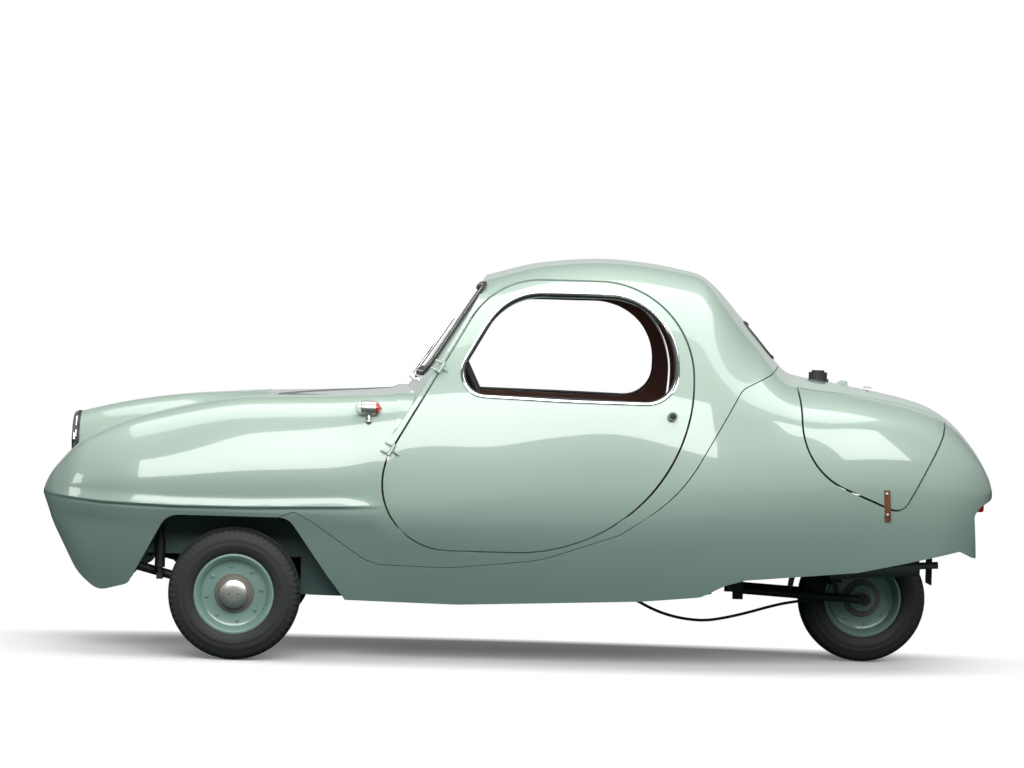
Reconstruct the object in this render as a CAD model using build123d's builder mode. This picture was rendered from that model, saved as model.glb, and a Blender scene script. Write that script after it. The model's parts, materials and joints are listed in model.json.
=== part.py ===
"""Small two-seat three wheeled car: two steered wheels in front, one driven wheel behind.

Millimetres. The nose points to -X, the car's right side is +Y and up is +Z.
The origin is on the ground under the middle of the overall box.
"""
import os
from math import hypot, radians, tan

from build123d import *

# ---------------------------------------------------------------- driving dimensions
body_wall = 16            # thickness of the moulded body and of its doors and lids
panel_gap = 6             # gap round a door or a lid

wheel_radius = 200        # outer radius of a tyre
tyre_width = 105
rim_radius = 112          # radius at the bead seat
flange_radius = 120
hub_radius = 46
axle_height = wheel_radius
front_axle_x = -875
rear_axle_x = 1085
half_track = 525          # middle of a front tyre from the middle of the car
kingpin_y = 440           # kingpin from the middle of the car
kingpin_radius = 9

well_inner_y = 372        # inner side of a front wheel well
nose_floor_z = 303        # underside of the floor between the front wheels
footwell_front_x = -671   # front wall of the footwells, close behind the front wheels
jack_pad_half = 45        # square pad for a jack under that floor
jack_pad_depth = 8
sill_z = 186              # underside of the belly pan
pan_thickness = 10

cabin_front_x = -400      # where the cabin form starts
deck_front_x = 830        # where the cabin's back meets the rear deck
screen_base = (-362, 846)     # X and Z of the windscreen's foot on the centre line
screen_top = (-128, 1196)     # X and Z of its head
screen_bow = 3500         # radius of the windscreen seen from above
bulkhead_x = 560          # front face of the wall behind the seats
shelf_z = 872             # underside of the shelf behind the seats

mudguard_radius = 226     # inside of the rear mudguard
yoke_centre = (-177, -230, 870)     # middle of the steering yoke
yoke_half = 110           # from the middle of the yoke to a grip
column_direction = (-0.902, 0, -0.431)
column_radius = 16

# One row a cross section: x, then the corner points of its right half, lowest first.
# Columns: X, then the low, wide, shoulder, rail and crown corners. A corner is a place in Y and Z,
# and may end with its own share of rounding, which is small along the fender's crease.
crease = 0.3
nose_sections = [
    (-1475, (300, 455), (402, 476, crease), (395, 500), (160, 508), (0, 510)),
    (-1432, (360, 345), (516, 480, crease), (495, 585), (200, 575), (0, 572)),
    (-1335, (400, 205), (590, 474, crease), (540, 684), (230, 636), (0, 632)),
    (-1150, (420, 130), (630, 462, crease), (530, 757), (260, 712), (0, 708)),
    (-850, (450, 130), (645, 452, crease), (540, 832), (280, 790), (0, 786)),
    (-600, (470, 130), (647, 458, 0.5), (560, 826), (300, 812), (0, 816)),
    (cabin_front_x, (480, 130), (645, 466), (575, 812), (330, 838), (0, 848)),
]
# The bonnet's rear end, which runs on beneath the bowed windscreen just inside the cabin's sides.
cowl_sections = [
    (cabin_front_x - 1, (470, 150), (638, 466), (570, 808), (330, 836), (0, 846)),
    (cabin_front_x + 84, (470, 150), (638, 466), (570, 806), (330, 838), (0, 852)),
]
cabin_sections = [
    (cabin_front_x, (480, 130), (645, 466), (590, 850), (350, 1035), (0, 1084)),
    (-110, (485, 130), (650, 476), (605, 850), (400, 1145), (0, 1204)),
    (60, (488, 130), (650, 480), (605, 850), (408, 1190), (0, 1252)),
    (230, (490, 130), (650, 484), (605, 850), (410, 1205), (0, 1264)),
    (520, (480, 130), (640, 496), (590, 850), (370, 1180), (0, 1226)),
    (700, (460, 130), (615, 515), (550, 830), (320, 1000), (0, 1066)),
    (deck_front_x, (430, 130), (582, 530), (520, 810), (290, 884), (0, 914)),
]
tail_sections = [
    (deck_front_x, (430, 130), (582, 530), (520, 810), (290, 884), (0, 914)),
    (1000, (390, 130), (530, 540), (470, 798), (250, 858), (0, 876)),
    (1250, (310, 130), (420, 550), (370, 745), (190, 804), (0, 826)),
    (1410, (220, 300), (300, 550), (258, 638), (130, 668), (0, 676)),
    (1475, (120, 470), (186, 536), (156, 564), (80, 574), (0, 578)),
]
corner_rounding = 0.9     # share of each side that a corner's arcs take



# Corner points in X and Z, each with the radius of its rounding.
underside_outline = [
    (-1700, 520, 0), (-1474, 452, 0), (-1366, 241, 150), (-1300, 186, 50), (-1203, 214, 30),
    (-1190, 240, 0), (-541, sill_z, 0), (-200, 182, 0),
    (360, 209, 0), (535, 226, 60), (609, 265, 60), (669, 282, 0), (1020, 310, 0), (1346, 375, 0),
    (1409, 349, 0), (1389, 487, 20), (1412, 514, 20), (1476, 541, 0), (1700, 541, 0),
    (1700, -200, 0), (-1700, -200, 0),
]
arch_outline = [
    (-1196, 90, 0), (-1190, 240, 60), (-1082, 436, 60), (-716, 437, 50), (-600, 265, 120),
    (-541, 186, 20), (-541, 90, 0),
]
rear_shell_outline = [
    (812, 1010, 0), (785, 935, 0), (741, 904, 0), (643, 859, 60), (457, 536, 500), (281, 413, 0),
    (43, 327, 400), (-226, 296, 600), (-466, 300, 150), (-644, 425, 60), (-700, 455, 0),
    (-760, 430, 0), (-760, 90, 0), (1700, 90, 0), (1700, 1010, 0),
]
door_outline = [(-109, 1172, 250), (491, 1172, 280), (491, 352, 530), (-579, 352, 200)]
window_outline = [(-74, 1130, 190), (440, 1130, 205), (440, 808, 95), (-252, 820, 70)]
lid_outline = [(830, 1000, 0), (830, 625, 215), (1144, 495, 40), (1360, 872, 0), (1360, 1000, 0)]
lid_top_edge = [(830, 345), (1311, 190)]      # X and Y of a lid's upper edge, seen from above
rear_window_outline = [(-230, 958), (230, 958), (180, 1060), (-180, 1060)]   # in Y and Z
rear_window_radius = 40
# Bottom line of the floor in X and Z, from the toe board to the wall behind the seats.
floor_line = [
    (-1188, nose_floor_z), (footwell_front_x - 11, nose_floor_z), (footwell_front_x + 11, 188), (-200, 184),
    (360, 211), (540, 228), (570, 236),
]
# Centre and radius of the round headlamp pod, from the lamp back into the bonnet.
pod_circles = [(-1402, 631, 91), (-1150, 660, 115), (-860, 676, 118)]
pod_notch = (-1500, -1402, 93)    # X range and radius of the round recess in the nose
# Across the car and up the glass from the foot of the windscreen.
screen_opening_outline = [(-420, 42), (420, 42), (330, 372), (-330, 372)]
screen_opening_radius = 50

# ---------------------------------------------------------------- shared forms
def closed_section(row, inset):
    """Corner points of a whole cross section, pushed inwards by an inset."""
    half = [corner[:2] for corner in row[1:]]
    ring = half + [(-y, z) for y, z in reversed(half[:-1])]
    count = len(ring)
    moved = []
    for index, (y, z) in enumerate(ring):
        before = ring[index - 1]
        after = ring[(index + 1) % count]
        in_y, in_z = y - before[0], z - before[1]
        out_y, out_z = after[0] - y, after[1] - z
        in_length = hypot(in_y, in_z)
        out_length = hypot(out_y, out_z)
        normal_y = -in_z / in_length - out_z / out_length
        normal_z = in_y / in_length + out_y / out_length
        scale = 2 / (normal_y ** 2 + normal_z ** 2)
        moved.append((y + inset * normal_y * scale, z + inset * normal_z * scale))
    return moved


def rounded_radii(ring, row):
    """Radius for each corner of a closed section: a share of what its two sides allow."""
    half = [corner[2] if len(corner) > 2 else corner_rounding for corner in row[1:]]
    count = len(ring)
    radii = []
    for index, (point, share) in enumerate(zip(ring, half + half[-2::-1])):
        here = Vector(*point)
        back = Vector(*ring[index - 1]) - here
        on = Vector(*ring[(index + 1) % count]) - here
        turn = 180 - back.get_angle(on)
        radii.append(share * min(back.length, on.length) / 2 / tan(radians(turn / 2)))
    return radii


def lofted(sections, inset):
    """Smooth solid through cross sections, each inset by the same amount."""
    with BuildPart() as form:
        for row in sections:
            ring = closed_section(row, inset)
            with BuildSketch(Plane.YZ.offset(row[0])):
                with BuildLine():
                    FilletPolyline(*ring, radius=rounded_radii(ring, row), close=True)
                make_face()
        loft()
    return form.part


def side_prism(outline, y_from, y_to, grow=0):
    """Rounded outline in X and Z, made larger all round, pushed through from one Y to another."""
    points = [(x, z) for x, z, radius in outline]
    radii = [radius for x, z, radius in outline]
    with BuildPart() as prism:
        with BuildSketch(Plane.XZ.offset(-y_to)):
            with BuildLine():
                FilletPolyline(*points, radius=radii, close=True)
            make_face()
            if grow:
                offset(amount=grow)
        extrude(amount=y_to - y_from)
    return prism.part


def block(x_from, x_to, y_from, y_to, z_from, z_to):
    """Plain box between two corners."""
    size = Box(abs(x_to - x_from), abs(y_to - y_from), abs(z_to - z_from), mode=Mode.PRIVATE)
    return Pos((x_from + x_to) / 2, (y_from + y_to) / 2, (z_from + z_to) / 2) * size


def screen_plane(setback):
    """Plane square to the windscreen's slope at its foot; its X is the car's Y."""
    run = screen_top[0] - screen_base[0]
    rise = screen_top[1] - screen_base[1]
    length = hypot(run, rise)
    origin = (screen_base[0] + setback * rise / length, 0, screen_base[1] - setback * run / length)
    return Plane(origin=origin, x_dir=(0, 1, 0), z_dir=(run / length, 0, rise / length))


def ahead_of_screen(setback):
    """Space in front of the bowed windscreen surface, moved back into the cabin by a setback."""
    reach = 900
    with BuildPart() as space:
        with BuildSketch(screen_plane(setback)):
            Rectangle(2 * reach, 2 * reach)
            with Locations((0, -screen_bow)):
                Circle(screen_bow, mode=Mode.SUBTRACT)
        extrude(amount=reach, both=True)
    return space.part


def body_form(inset):
    """The whole closed body, or its inside when inset."""
    inner = inset > 0
    nose = lofted(nose_sections[1:] if inner else nose_sections, inset)
    with BuildPart() as pod:
        for x, z, radius in pod_circles:
            with BuildSketch(Plane.YZ.offset(x + inset)):
                with Locations((0, z)):
                    Circle(radius - inset)
        loft(ruled=True)
    nose += pod.part
    cabin = lofted(cabin_sections, inset)
    cowl = lofted(cowl_sections, inset)
    tail = lofted(tail_sections[:-1] if inner else tail_sections, inset)
    notch_from, notch_to, notch_radius = pod_notch
    with BuildPart() as notch:
        with BuildSketch(Plane.YZ.offset(notch_from)):
            with Locations((0, pod_circles[0][1])):
                Circle(notch_radius)
        extrude(amount=notch_to - notch_from)
    if not inner:
        nose -= notch.part
    return nose + (cabin - ahead_of_screen(inset)) + cowl + tail


def both_sides(part):
    """A part together with its mirror image on the other side of the car."""
    return part + mirror(part, about=Plane.XZ, mode=Mode.PRIVATE)


def keep(builder, name):
    """Label a finished piece and write it out."""
    builder.part.label = name
    export_step(builder.part, f"parts/{name}.step")


os.makedirs("parts", exist_ok=True)
side_reach = 900          # further out than any side of the car


# ---------------------------------------------------------------- helpers for rods, tubes and plates
def rod(start, end, radius, bore=0):
    """Straight round bar or tube between two points."""
    along = Vector(*end) - Vector(*start)
    with BuildPart() as bar:
        with BuildSketch(Plane(origin=start, z_dir=along)):
            Circle(radius)
            if bore:
                Circle(bore, mode=Mode.SUBTRACT)
        extrude(amount=along.length)
    return bar.part


def bent_rod(points, radii, radius):
    """Round bar along straight runs joined by tangent arcs."""
    with BuildPart() as bar:
        with BuildLine() as route:
            FilletPolyline(*points, radius=radii)
        with BuildSketch(Plane(origin=points[0], z_dir=route.line % 0)):
            Circle(radius)
        sweep(path=route.line)
    return bar.part

def arc_radii(points):
    """Bend radii of a cord, as large as the two runs beside each bend allow."""
    radii = []
    for back, here, on in zip(points, points[1:], points[2:]):
        coming = Vector(*here) - Vector(*back)
        going = Vector(*on) - Vector(*here)
        half_turn = radians(coming.get_angle(going) / 2)
        radii.append(0.45 * min(coming.length, going.length) / tan(half_turn))
    return radii


def column_point(x):
    """Point on the middle line of the steering column."""
    share = (x - yoke_centre[0]) / column_direction[0]
    return tuple(yoke_centre[axis] + share * column_direction[axis] for axis in range(3))


outer_form = body_form(0)
inner_form = body_form(body_wall)


# ---------------------------------------------------------------- cuts in the body
def mirrored(part):
    """The same part on the other side of the car."""
    return mirror(part, about=Plane.XZ, mode=Mode.PRIVATE)


rear_region = side_prism(rear_shell_outline, -side_reach, side_reach)
arch_cut = side_prism(arch_outline, well_inner_y, side_reach)
door_inner_y = 150        # the door prisms start here, well inside the cabin
door_cut = side_prism(door_outline, door_inner_y, side_reach, grow=panel_gap)
door_region = side_prism(door_outline, door_inner_y, side_reach)
window_cut = side_prism(window_outline, door_inner_y, side_reach)


def lid_space(grow):
    """Space of a rear lid on the +Y side: its side outline, outside its upper edge in plan."""
    (x0, y0), (x1, y1) = lid_top_edge
    slope = (y1 - y0) / (x1 - x0)
    x_from, x_to = 700, 1500
    with BuildPart() as space:
        with BuildSketch(Plane.XY.offset(300)):
            with BuildLine():
                Polyline(
                    (x_from, y0 + slope * (x_from - x0) - grow),
                    (x_to, y0 + slope * (x_to - x0) - grow),
                    (x_to, side_reach),
                    (x_from, side_reach),
                    close=True,
                )
            make_face()
        extrude(amount=700)
    return space.part & side_prism(lid_outline, 0, side_reach, grow=grow)


lid_cut = lid_space(panel_gap)
lid_region = lid_space(0)


def screen_opening(grow):
    """Windscreen opening, square to the glass at its middle."""
    glass_plane = Plane(
        origin=(screen_base[0], 0, screen_base[1]),
        x_dir=(0, -1, 0),
        z_dir=screen_plane(0).y_dir,
    )
    with BuildPart() as opening:
        with BuildSketch(glass_plane):
            with BuildLine():
                FilletPolyline(*screen_opening_outline, radius=screen_opening_radius, close=True)
            make_face()
            if grow:
                offset(amount=grow)
        extrude(amount=120, both=True)
    return opening.part


def rear_window_opening(grow):
    """Rear window opening, straight along the car."""
    with BuildPart() as opening:
        with BuildSketch(Plane.YZ.offset(560)):
            with BuildLine():
                FilletPolyline(*rear_window_outline, radius=rear_window_radius, close=True)
            make_face()
            if grow:
                offset(amount=grow)
        extrude(amount=300)
    return opening.part


# ---------------------------------------------------------------- body panels
whole_shell = outer_form - inner_form
whole_shell -= side_prism(underside_outline, -side_reach, side_reach)
whole_shell -= both_sides(arch_cut)
side_panels = whole_shell & both_sides(door_region)
lid_panels = whole_shell & both_sides(lid_region)

with BuildPart() as front_shell:
    add(whole_shell)
    add(rear_region, mode=Mode.SUBTRACT)
    add(both_sides(door_cut), mode=Mode.SUBTRACT)
    add(screen_opening(0), mode=Mode.SUBTRACT)
    add(rear_window_opening(0), mode=Mode.SUBTRACT)
    add(rod(column_point(-480), column_point(-330), column_radius), mode=Mode.SUBTRACT)
keep(front_shell, "front_shell")

with BuildPart() as rear_shell:
    add(whole_shell)
    add(rear_region, mode=Mode.INTERSECT)
    add(both_sides(door_cut), mode=Mode.SUBTRACT)
    add(both_sides(lid_cut), mode=Mode.SUBTRACT)
keep(rear_shell, "rear_shell")

right_door = side_panels & door_region
right_door -= window_cut
right_lid = lid_panels & lid_region
for side, door_panel, lid_panel in (
    ("right", right_door, right_lid),
    ("left", mirrored(right_door), mirrored(right_lid)),
):
    with BuildPart() as door:
        add(door_panel)
    keep(door, f"door_{side}")
    with BuildPart() as lid:
        add(lid_panel)
    keep(lid, f"lid_{side}")

for name, opening in (
    ("windscreen_glass", screen_opening(0)),
    ("rear_glass", rear_window_opening(0)),
):
    with BuildPart() as glass:
        add(whole_shell)
        add(opening, mode=Mode.INTERSECT)
    keep(glass, name)


# ---------------------------------------------------------------- floor and wall behind the seats
def sheet_outline(line, thickness):
    """Closed outline of a bent sheet whose lower side follows a line."""
    return [(x, z, 0) for x, z in line] + [(x, z + thickness, 0) for x, z in reversed(line)]


toe_board_top = 640
with BuildPart() as floor_pan:
    add(side_prism(sheet_outline(floor_line, pan_thickness), -side_reach, side_reach))
    add(block(-1188, -1180, -side_reach, side_reach, nose_floor_z, toe_board_top))
    add(inner_form, mode=Mode.INTERSECT)
    add(both_sides(side_prism(arch_outline, well_inner_y - 8, side_reach, grow=8)),
        mode=Mode.SUBTRACT)
    add(block(front_axle_x - jack_pad_half, front_axle_x + jack_pad_half, -jack_pad_half, jack_pad_half,
              nose_floor_z - jack_pad_depth, nose_floor_z + pan_thickness))
keep(floor_pan, "floor_pan")

with BuildPart() as wheel_wells:
    add(side_prism(arch_outline, well_inner_y - 8, side_reach, grow=8))
    add(arch_cut, mode=Mode.SUBTRACT)
    add(block(-1300, footwell_front_x, 0, well_inner_y, 0, nose_floor_z), mode=Mode.SUBTRACT)
    add(inner_form, mode=Mode.INTERSECT)
    mirror(about=Plane.XZ)
keep(wheel_wells, "wheel_wells")

with BuildPart() as bulkhead:
    add(block(bulkhead_x, bulkhead_x + 10, -side_reach, side_reach, 250, shelf_z + 10))
    add(block(bulkhead_x + 10, 900, -side_reach, side_reach, shelf_z, shelf_z + 10))
    add(inner_form, mode=Mode.INTERSECT)
keep(bulkhead, "bulkhead")


# ---------------------------------------------------------------- wheels
def turned(name, outline, x, y):
    """Piece turned about a wheel's axle from an outline of (outwards, radius) corners."""
    with BuildPart() as piece:
        with BuildSketch(Plane(origin=(x, y, axle_height), x_dir=(0, 1, 0), z_dir=(1, 0, 0))):
            with BuildLine():
                FilletPolyline(*[point[:2] for point in outline],
                               radius=[point[2] for point in outline], close=True)
            make_face()
        revolve(axis=Axis((x, y, axle_height), (0, 1, 0)))
    keep(piece, name)


bead_half = 42            # half the width between the rim's flanges
spindle_radius = 9
hub_half = 40
tyre_outline = [
    (-bead_half, rim_radius, 0), (bead_half, rim_radius, 0), (bead_half, 122, 0),
    (tyre_width / 2, 146, 18), (tyre_width / 2, 170, 12), (38, wheel_radius - 4, 14),
    (12, wheel_radius, 30), (-12, wheel_radius, 30), (-38, wheel_radius - 4, 14),
    (-tyre_width / 2, 170, 12), (-tyre_width / 2, 146, 18), (-bead_half, 122, 0),
]
bore_radius = spindle_radius + 0.05
rim_outline = [
    (-bead_half - 5, flange_radius, 2), (-bead_half, flange_radius, 2),
    (-bead_half, rim_radius, 0), (bead_half, rim_radius, 0), (bead_half, flange_radius, 2),
    (bead_half + 5, flange_radius, 2), (bead_half + 5, 104, 3), (30, 104, 6), (24, 88, 6),
    (34, hub_radius + 14, 6), (hub_half, hub_radius, 4), (hub_half, bore_radius, 0),
    (-hub_half, bore_radius, 0), (-hub_half, 38, 3), (12, 44, 8), (12, 92, 6),
    (20, 106, 4), (-bead_half - 5, 104, 3),
]
cap_outline = [
    (hub_half, 0, 0), (hub_half, 36, 0), (hub_half + 6, 36, 2), (hub_half + 16, 22, 14),
    (hub_half + 18, 0, 0),
]
wheel_places = (
    ("front_left", front_axle_x, -half_track, -1),
    ("front_right", front_axle_x, half_track, 1),
    ("rear", rear_axle_x, 0, -1),
)
for place, x, y, out in wheel_places:
    turned(f"tyre_{place}", [(out * a, b, c) for a, b, c in tyre_outline], x, y)
    turned(f"rim_{place}", [(out * a, b, c) for a, b, c in rim_outline], x, y)
    if place != "rear":
        turned(f"hub_cap_{place}", [(out * a, b, c) for a, b, c in cap_outline], x, y)


# ---------------------------------------------------------------- front running gear
cross_tube_x = -1213
cross_tube_z = 268
arm_y = 342
post_y = 404
eye_low = (140, 158)      # heights of the lower kingpin eye
eye_high = (242, 260)
knuckle_gap = 5
with BuildPart() as front_axle:
    add(rod((cross_tube_x, -arm_y - 14, cross_tube_z), (cross_tube_x, arm_y + 14, cross_tube_z), 22))
    for side in (-1, 1):
        add(block(cross_tube_x, -1188, side * 250 - 20, side * 250 + 20, 250, 330))
        add(bent_rod(
            [(cross_tube_x, side * arm_y, cross_tube_z), (-960, side * arm_y, 205),
             (front_axle_x, side * post_y, 200)], [60], 14))
        add(rod((front_axle_x, side * post_y, eye_low[0]), (front_axle_x, side * post_y, eye_high[1]), 12))
        for low, high in (eye_low, eye_high):
            add(rod((front_axle_x, side * kingpin_y, low), (front_axle_x, side * kingpin_y, high), 18))
            add(block(front_axle_x - 10, front_axle_x + 10, side * post_y, side * kingpin_y, low, high))
        add(rod((front_axle_x, side * kingpin_y, eye_low[0] + 4),
                (front_axle_x, side * kingpin_y, eye_high[1] + 8), kingpin_radius))
keep(front_axle, "front_axle")

damper_x = -1113
damper_y = 392
with BuildPart() as front_dampers:
    add(rod((damper_x, damper_y, 226), (damper_x, damper_y, 440), 9))
    add(rod((damper_x, damper_y, 262), (damper_x, damper_y, 350), 16))
    add(block(damper_x - 9, damper_x + 9, arm_y + 10, damper_y + 12, 226, 244))
    add(arch_cut, mode=Mode.INTERSECT)
    add(block(damper_x - 9, damper_x + 9, arm_y, well_inner_y, 226, 244))
    add(front_axle.part, mode=Mode.SUBTRACT)
    mirror(about=Plane.XZ)
keep(front_dampers, "front_dampers")

barrel_radius = 17
steering_arm = 100
for place, x, y, out in wheel_places[:2]:
    with BuildPart() as knuckle:
        pin_y = out * kingpin_y
        add(rod((x, pin_y, eye_low[1] + knuckle_gap), (x, pin_y, eye_high[0] - knuckle_gap),
                barrel_radius))
        add(rod((x, pin_y, axle_height), (x, y + out * (hub_half - 1), axle_height), spindle_radius))
        add(rod((x, pin_y, axle_height), (x, y - out * (hub_half + 3), axle_height), 16))
        add(block(x, x + steering_arm, pin_y - 8, pin_y + 8, 192, 208))
        add(rod((x, pin_y, eye_low[1]), (x, pin_y, eye_high[0]), kingpin_radius + 0.05),
            mode=Mode.SUBTRACT)
    keep(knuckle, f"knuckle_{place[6:]}")


# ---------------------------------------------------------------- rear running gear and power unit
rail_y = 150
rail_size = 26
rail_z = 356
with BuildPart() as rear_frame:
    for side in (-1, 1):
        add(block(bulkhead_x + 10, 1300, side * rail_y - rail_size / 2, side * rail_y + rail_size / 2,
                  rail_z, rail_z + rail_size))
        add(block(664, 696, side * rail_y - 8, side * rail_y + 8, 196, rail_z))
    for x in (886, 1280):
        add(block(x, x + 20, -rail_y, rail_y, rail_z, rail_z + rail_size))
keep(rear_frame, "rear_frame")

pivot_x = 680
pivot_z = 222
leg_y = 88
with BuildPart() as swing_arm:
    add(rod((pivot_x, -rail_y + 8, pivot_z), (pivot_x, rail_y - 8, pivot_z), 15))
    for side in (-1, 1):
        add(rod((pivot_x, side * leg_y, pivot_z), (rear_axle_x, side * leg_y, axle_height), 13))
    add(rod((rear_axle_x, -leg_y - 24, axle_height), (rear_axle_x, leg_y + 24, axle_height),
            spindle_radius))
    for side in (-1, 1):
        add(rod((rear_axle_x, side * (leg_y + 15), axle_height),
                (rear_axle_x, side * (leg_y - 15), axle_height), 19))
        add(rod((rear_axle_x, side * (leg_y - 14), axle_height),
                (rear_axle_x, side * (hub_half + 2), axle_height), 14))
keep(swing_arm, "swing_arm")

with BuildPart() as rear_dampers:
    for side in (-1, 1):
        foot = (1000, side * leg_y, 214)
        head = (930, side * leg_y, rail_z + 170)
        add(rod(foot, head, 7))
        add(rod((992, side * leg_y, 250), (940, side * leg_y, rail_z + 120), 21))
        add(block(915, 945, side * (leg_y - 12), side * (rail_y + 13), rail_z + 150, rail_z + 176))
        add(block(915, 945, side * (rail_y - 13), side * (rail_y + 13), rail_z + rail_size, rail_z + 160))
    add(swing_arm.part, mode=Mode.SUBTRACT)
keep(rear_dampers, "rear_dampers")

with BuildPart() as rear_mudguard:
    with BuildSketch(Plane.XZ.offset(-62)):
        with Locations((rear_axle_x, axle_height)):
            Circle(mudguard_radius + 3)
            Circle(mudguard_radius, mode=Mode.SUBTRACT)
            Rectangle(600, 300, align=(Align.CENTER, Align.MAX), mode=Mode.SUBTRACT)
            Rectangle(400, 600, align=(Align.MIN, Align.MIN), rotation=-25, mode=Mode.SUBTRACT)
    extrude(amount=124)
    for side in (-1, 1):
        add(rod((rear_axle_x - 60, side * 60, 420), (rear_axle_x - 60, side * (rail_y - 10), 372), 5))
    add(rear_frame.part, mode=Mode.SUBTRACT)
keep(rear_mudguard, "rear_mudguard")

with BuildPart() as mudflap:
    add(block(1296, 1300, -58, 58, 250, rail_z))
keep(mudflap, "mudflap")

with BuildPart() as engine_block:
    add(block(716, 884, -rail_y + 14, 110, 300, rail_z + rail_size))
    add(block(716, 884, -rail_y - 12, 124, rail_z + rail_size, 470))
    fillet(engine_block.edges().filter_by(Axis.Y), 24)
    add(block(726, 826, -60, 60, 470, 620))
    with Locations(*[(776, 0, 490 + 18 * fin) for fin in range(7)]):
        Box(130, 150, 7)
keep(engine_block, "engine_block")

with BuildPart() as exhaust:
    add(rod((960, -176, 300), (1240, -176, 318), 32))
    add(rod((1240, -176, 318), (1300, -176, 321.8), 11))
    add(bent_rod([(800, -132, 330), (860, -176, 294), (962, -176, 300.1)], [40], 12))
    for x in (1000, 1180):
        add(block(x, x + 16, -rail_y - 13, -rail_y + 13, 320, rail_z))
    add(engine_block.part, mode=Mode.SUBTRACT)
keep(exhaust, "exhaust")

cable_radius = 4.5
cable_points = [
    (306, -200, 204), (352, -201, 192), (400, -200, 166), (452, -199, 146), (512, -197, 133),
    (578, -194, 129), (645, -190, 141), (712, -184, 158), (780, -172, 178), (850, -150, 193),
    (920, -122, 199),
]
cable_bends = [round(value, 1) for value in arc_radii(cable_points)]
print("brake cable bend radii", cable_bends)
with BuildPart() as brake_cable:
    add(bent_rod(cable_points, cable_bends, cable_radius))
keep(brake_cable, "brake_cable")

# ---------------------------------------------------------------- cabin
with BuildPart() as dashboard:
    add(block(-388, -352, -460, 460, 700, 900))
    add(inner_form, mode=Mode.INTERSECT)
    add(rod(column_point(-420), column_point(-320), column_radius), mode=Mode.SUBTRACT)
keep(dashboard, "dashboard")

with BuildPart() as speedometer:
    add(rod((-352, yoke_centre[1] + 150, 765), (-338, yoke_centre[1] + 150, 765), 42))
keep(speedometer, "speedometer")

column_foot_x = -790
with BuildPart() as steering_column:
    foot = column_point(column_foot_x)
    add(rod(foot, column_point(-352), column_radius))
    add(rod(column_point(-420), column_point(-352), 8.05), mode=Mode.SUBTRACT)
    add(block(column_foot_x - 30, column_foot_x + 30, foot[1] - 22, foot[1] + 22,
              nose_floor_z + pan_thickness, foot[2] + 12))
keep(steering_column, "steering_column")

with BuildPart() as steering_yoke:
    add(rod(column_point(-410), yoke_centre, 8))
    add(rod(column_point(yoke_centre[0] - 22), column_point(yoke_centre[0] + 6), 24))
    add(rod((yoke_centre[0], yoke_centre[1] - yoke_half, yoke_centre[2]),
            (yoke_centre[0], yoke_centre[1] + yoke_half, yoke_centre[2]), 9))
keep(steering_yoke, "steering_yoke")

grip_half = 52
with BuildPart() as yoke_grips:
    for side in (-1, 1):
        middle = Vector(*yoke_centre) + Vector(0, side * yoke_half, 0)
        reach = Vector(column_direction[2], 0, -column_direction[0]) * grip_half
        add(rod(middle - reach, middle + reach, 14))
    add(steering_yoke.part, mode=Mode.SUBTRACT)
keep(yoke_grips, "yoke_grips")

pedal_x = -960
with BuildPart() as pedals:
    for y in (-310, -230, -150):
        add(rod((pedal_x - 30, y, nose_floor_z + pan_thickness), (pedal_x, y, 400), 6))
        add(block(pedal_x - 4, pedal_x + 6, y - 25, y + 25, 370, 440))
    add(floor_pan.part, mode=Mode.SUBTRACT)
keep(pedals, "pedals")

# Space below the top of the floor.
under_floor = side_prism(
    [(x, z + pan_thickness, 0) for x, z in floor_line] + [(floor_line[-1][0], 0, 0),
                                                        (floor_line[0][0], 0, 0)],
    -side_reach, side_reach)
with BuildPart() as gear_lever:
    add(rod((-150, 0, 150), (-60, 0, 560), 7))
    add(block(-175, -110, -28, 28, 180, 214))
    add(rod((-66, 0, 532), (-52, 0, 596), 18))
    add(under_floor, mode=Mode.SUBTRACT)
keep(gear_lever, "gear_lever")

# One row a seat: name, middle in Y, front edge of the cushion in X.
seats = (("driver", -230, -110), ("passenger", 230, 0))
seat_width = 400
cushion_length = 400
cushion_bottom = 318
cushion_top = 430
back_height = 370
back_thickness = 80
back_lean = 60            # how far the top of a back leans behind its foot
frame_plate = 8
with BuildPart() as seat_frames:
    for name, y, x in seats:
        back_x = x + cushion_length
        add(block(x + 20, back_x - 20, y - 170, y + 170, 150, cushion_bottom))
        add(side_prism([
            (back_x - 30, cushion_bottom, 0),
            (back_x - 30, cushion_bottom - frame_plate, 0),
            (back_x + back_thickness + frame_plate, cushion_bottom - frame_plate, 0),
            (back_x + back_thickness + back_lean + frame_plate, cushion_top + back_height, 0),
            (back_x + back_thickness + back_lean, cushion_top + back_height, 0),
            (back_x + back_thickness, cushion_bottom, 0)], y - 180, y + 180))
    add(under_floor, mode=Mode.SUBTRACT)
keep(seat_frames, "seat_frames")

for name, y, x in seats:
    back_x = x + cushion_length
    with BuildPart() as cushion:
        add(block(x, back_x - 2, y - seat_width / 2, y + seat_width / 2, cushion_bottom, cushion_top))
        fillet(cushion.edges().filter_by(Axis.Z), 40)
        fillet(cushion.faces().sort_by(Axis.Z)[-1].edges(), 30)
    keep(cushion, f"{name}_cushion")
    with BuildPart() as back:
        add(side_prism([
            (back_x, cushion_bottom, 20), (back_x + back_thickness, cushion_bottom, 0),
            (back_x + back_thickness + back_lean, cushion_top + back_height, 30),
            (back_x + back_lean, cushion_top + back_height, 30)],
            y - seat_width / 2, y + seat_width / 2))
    keep(back, f"{name}_back")


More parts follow.
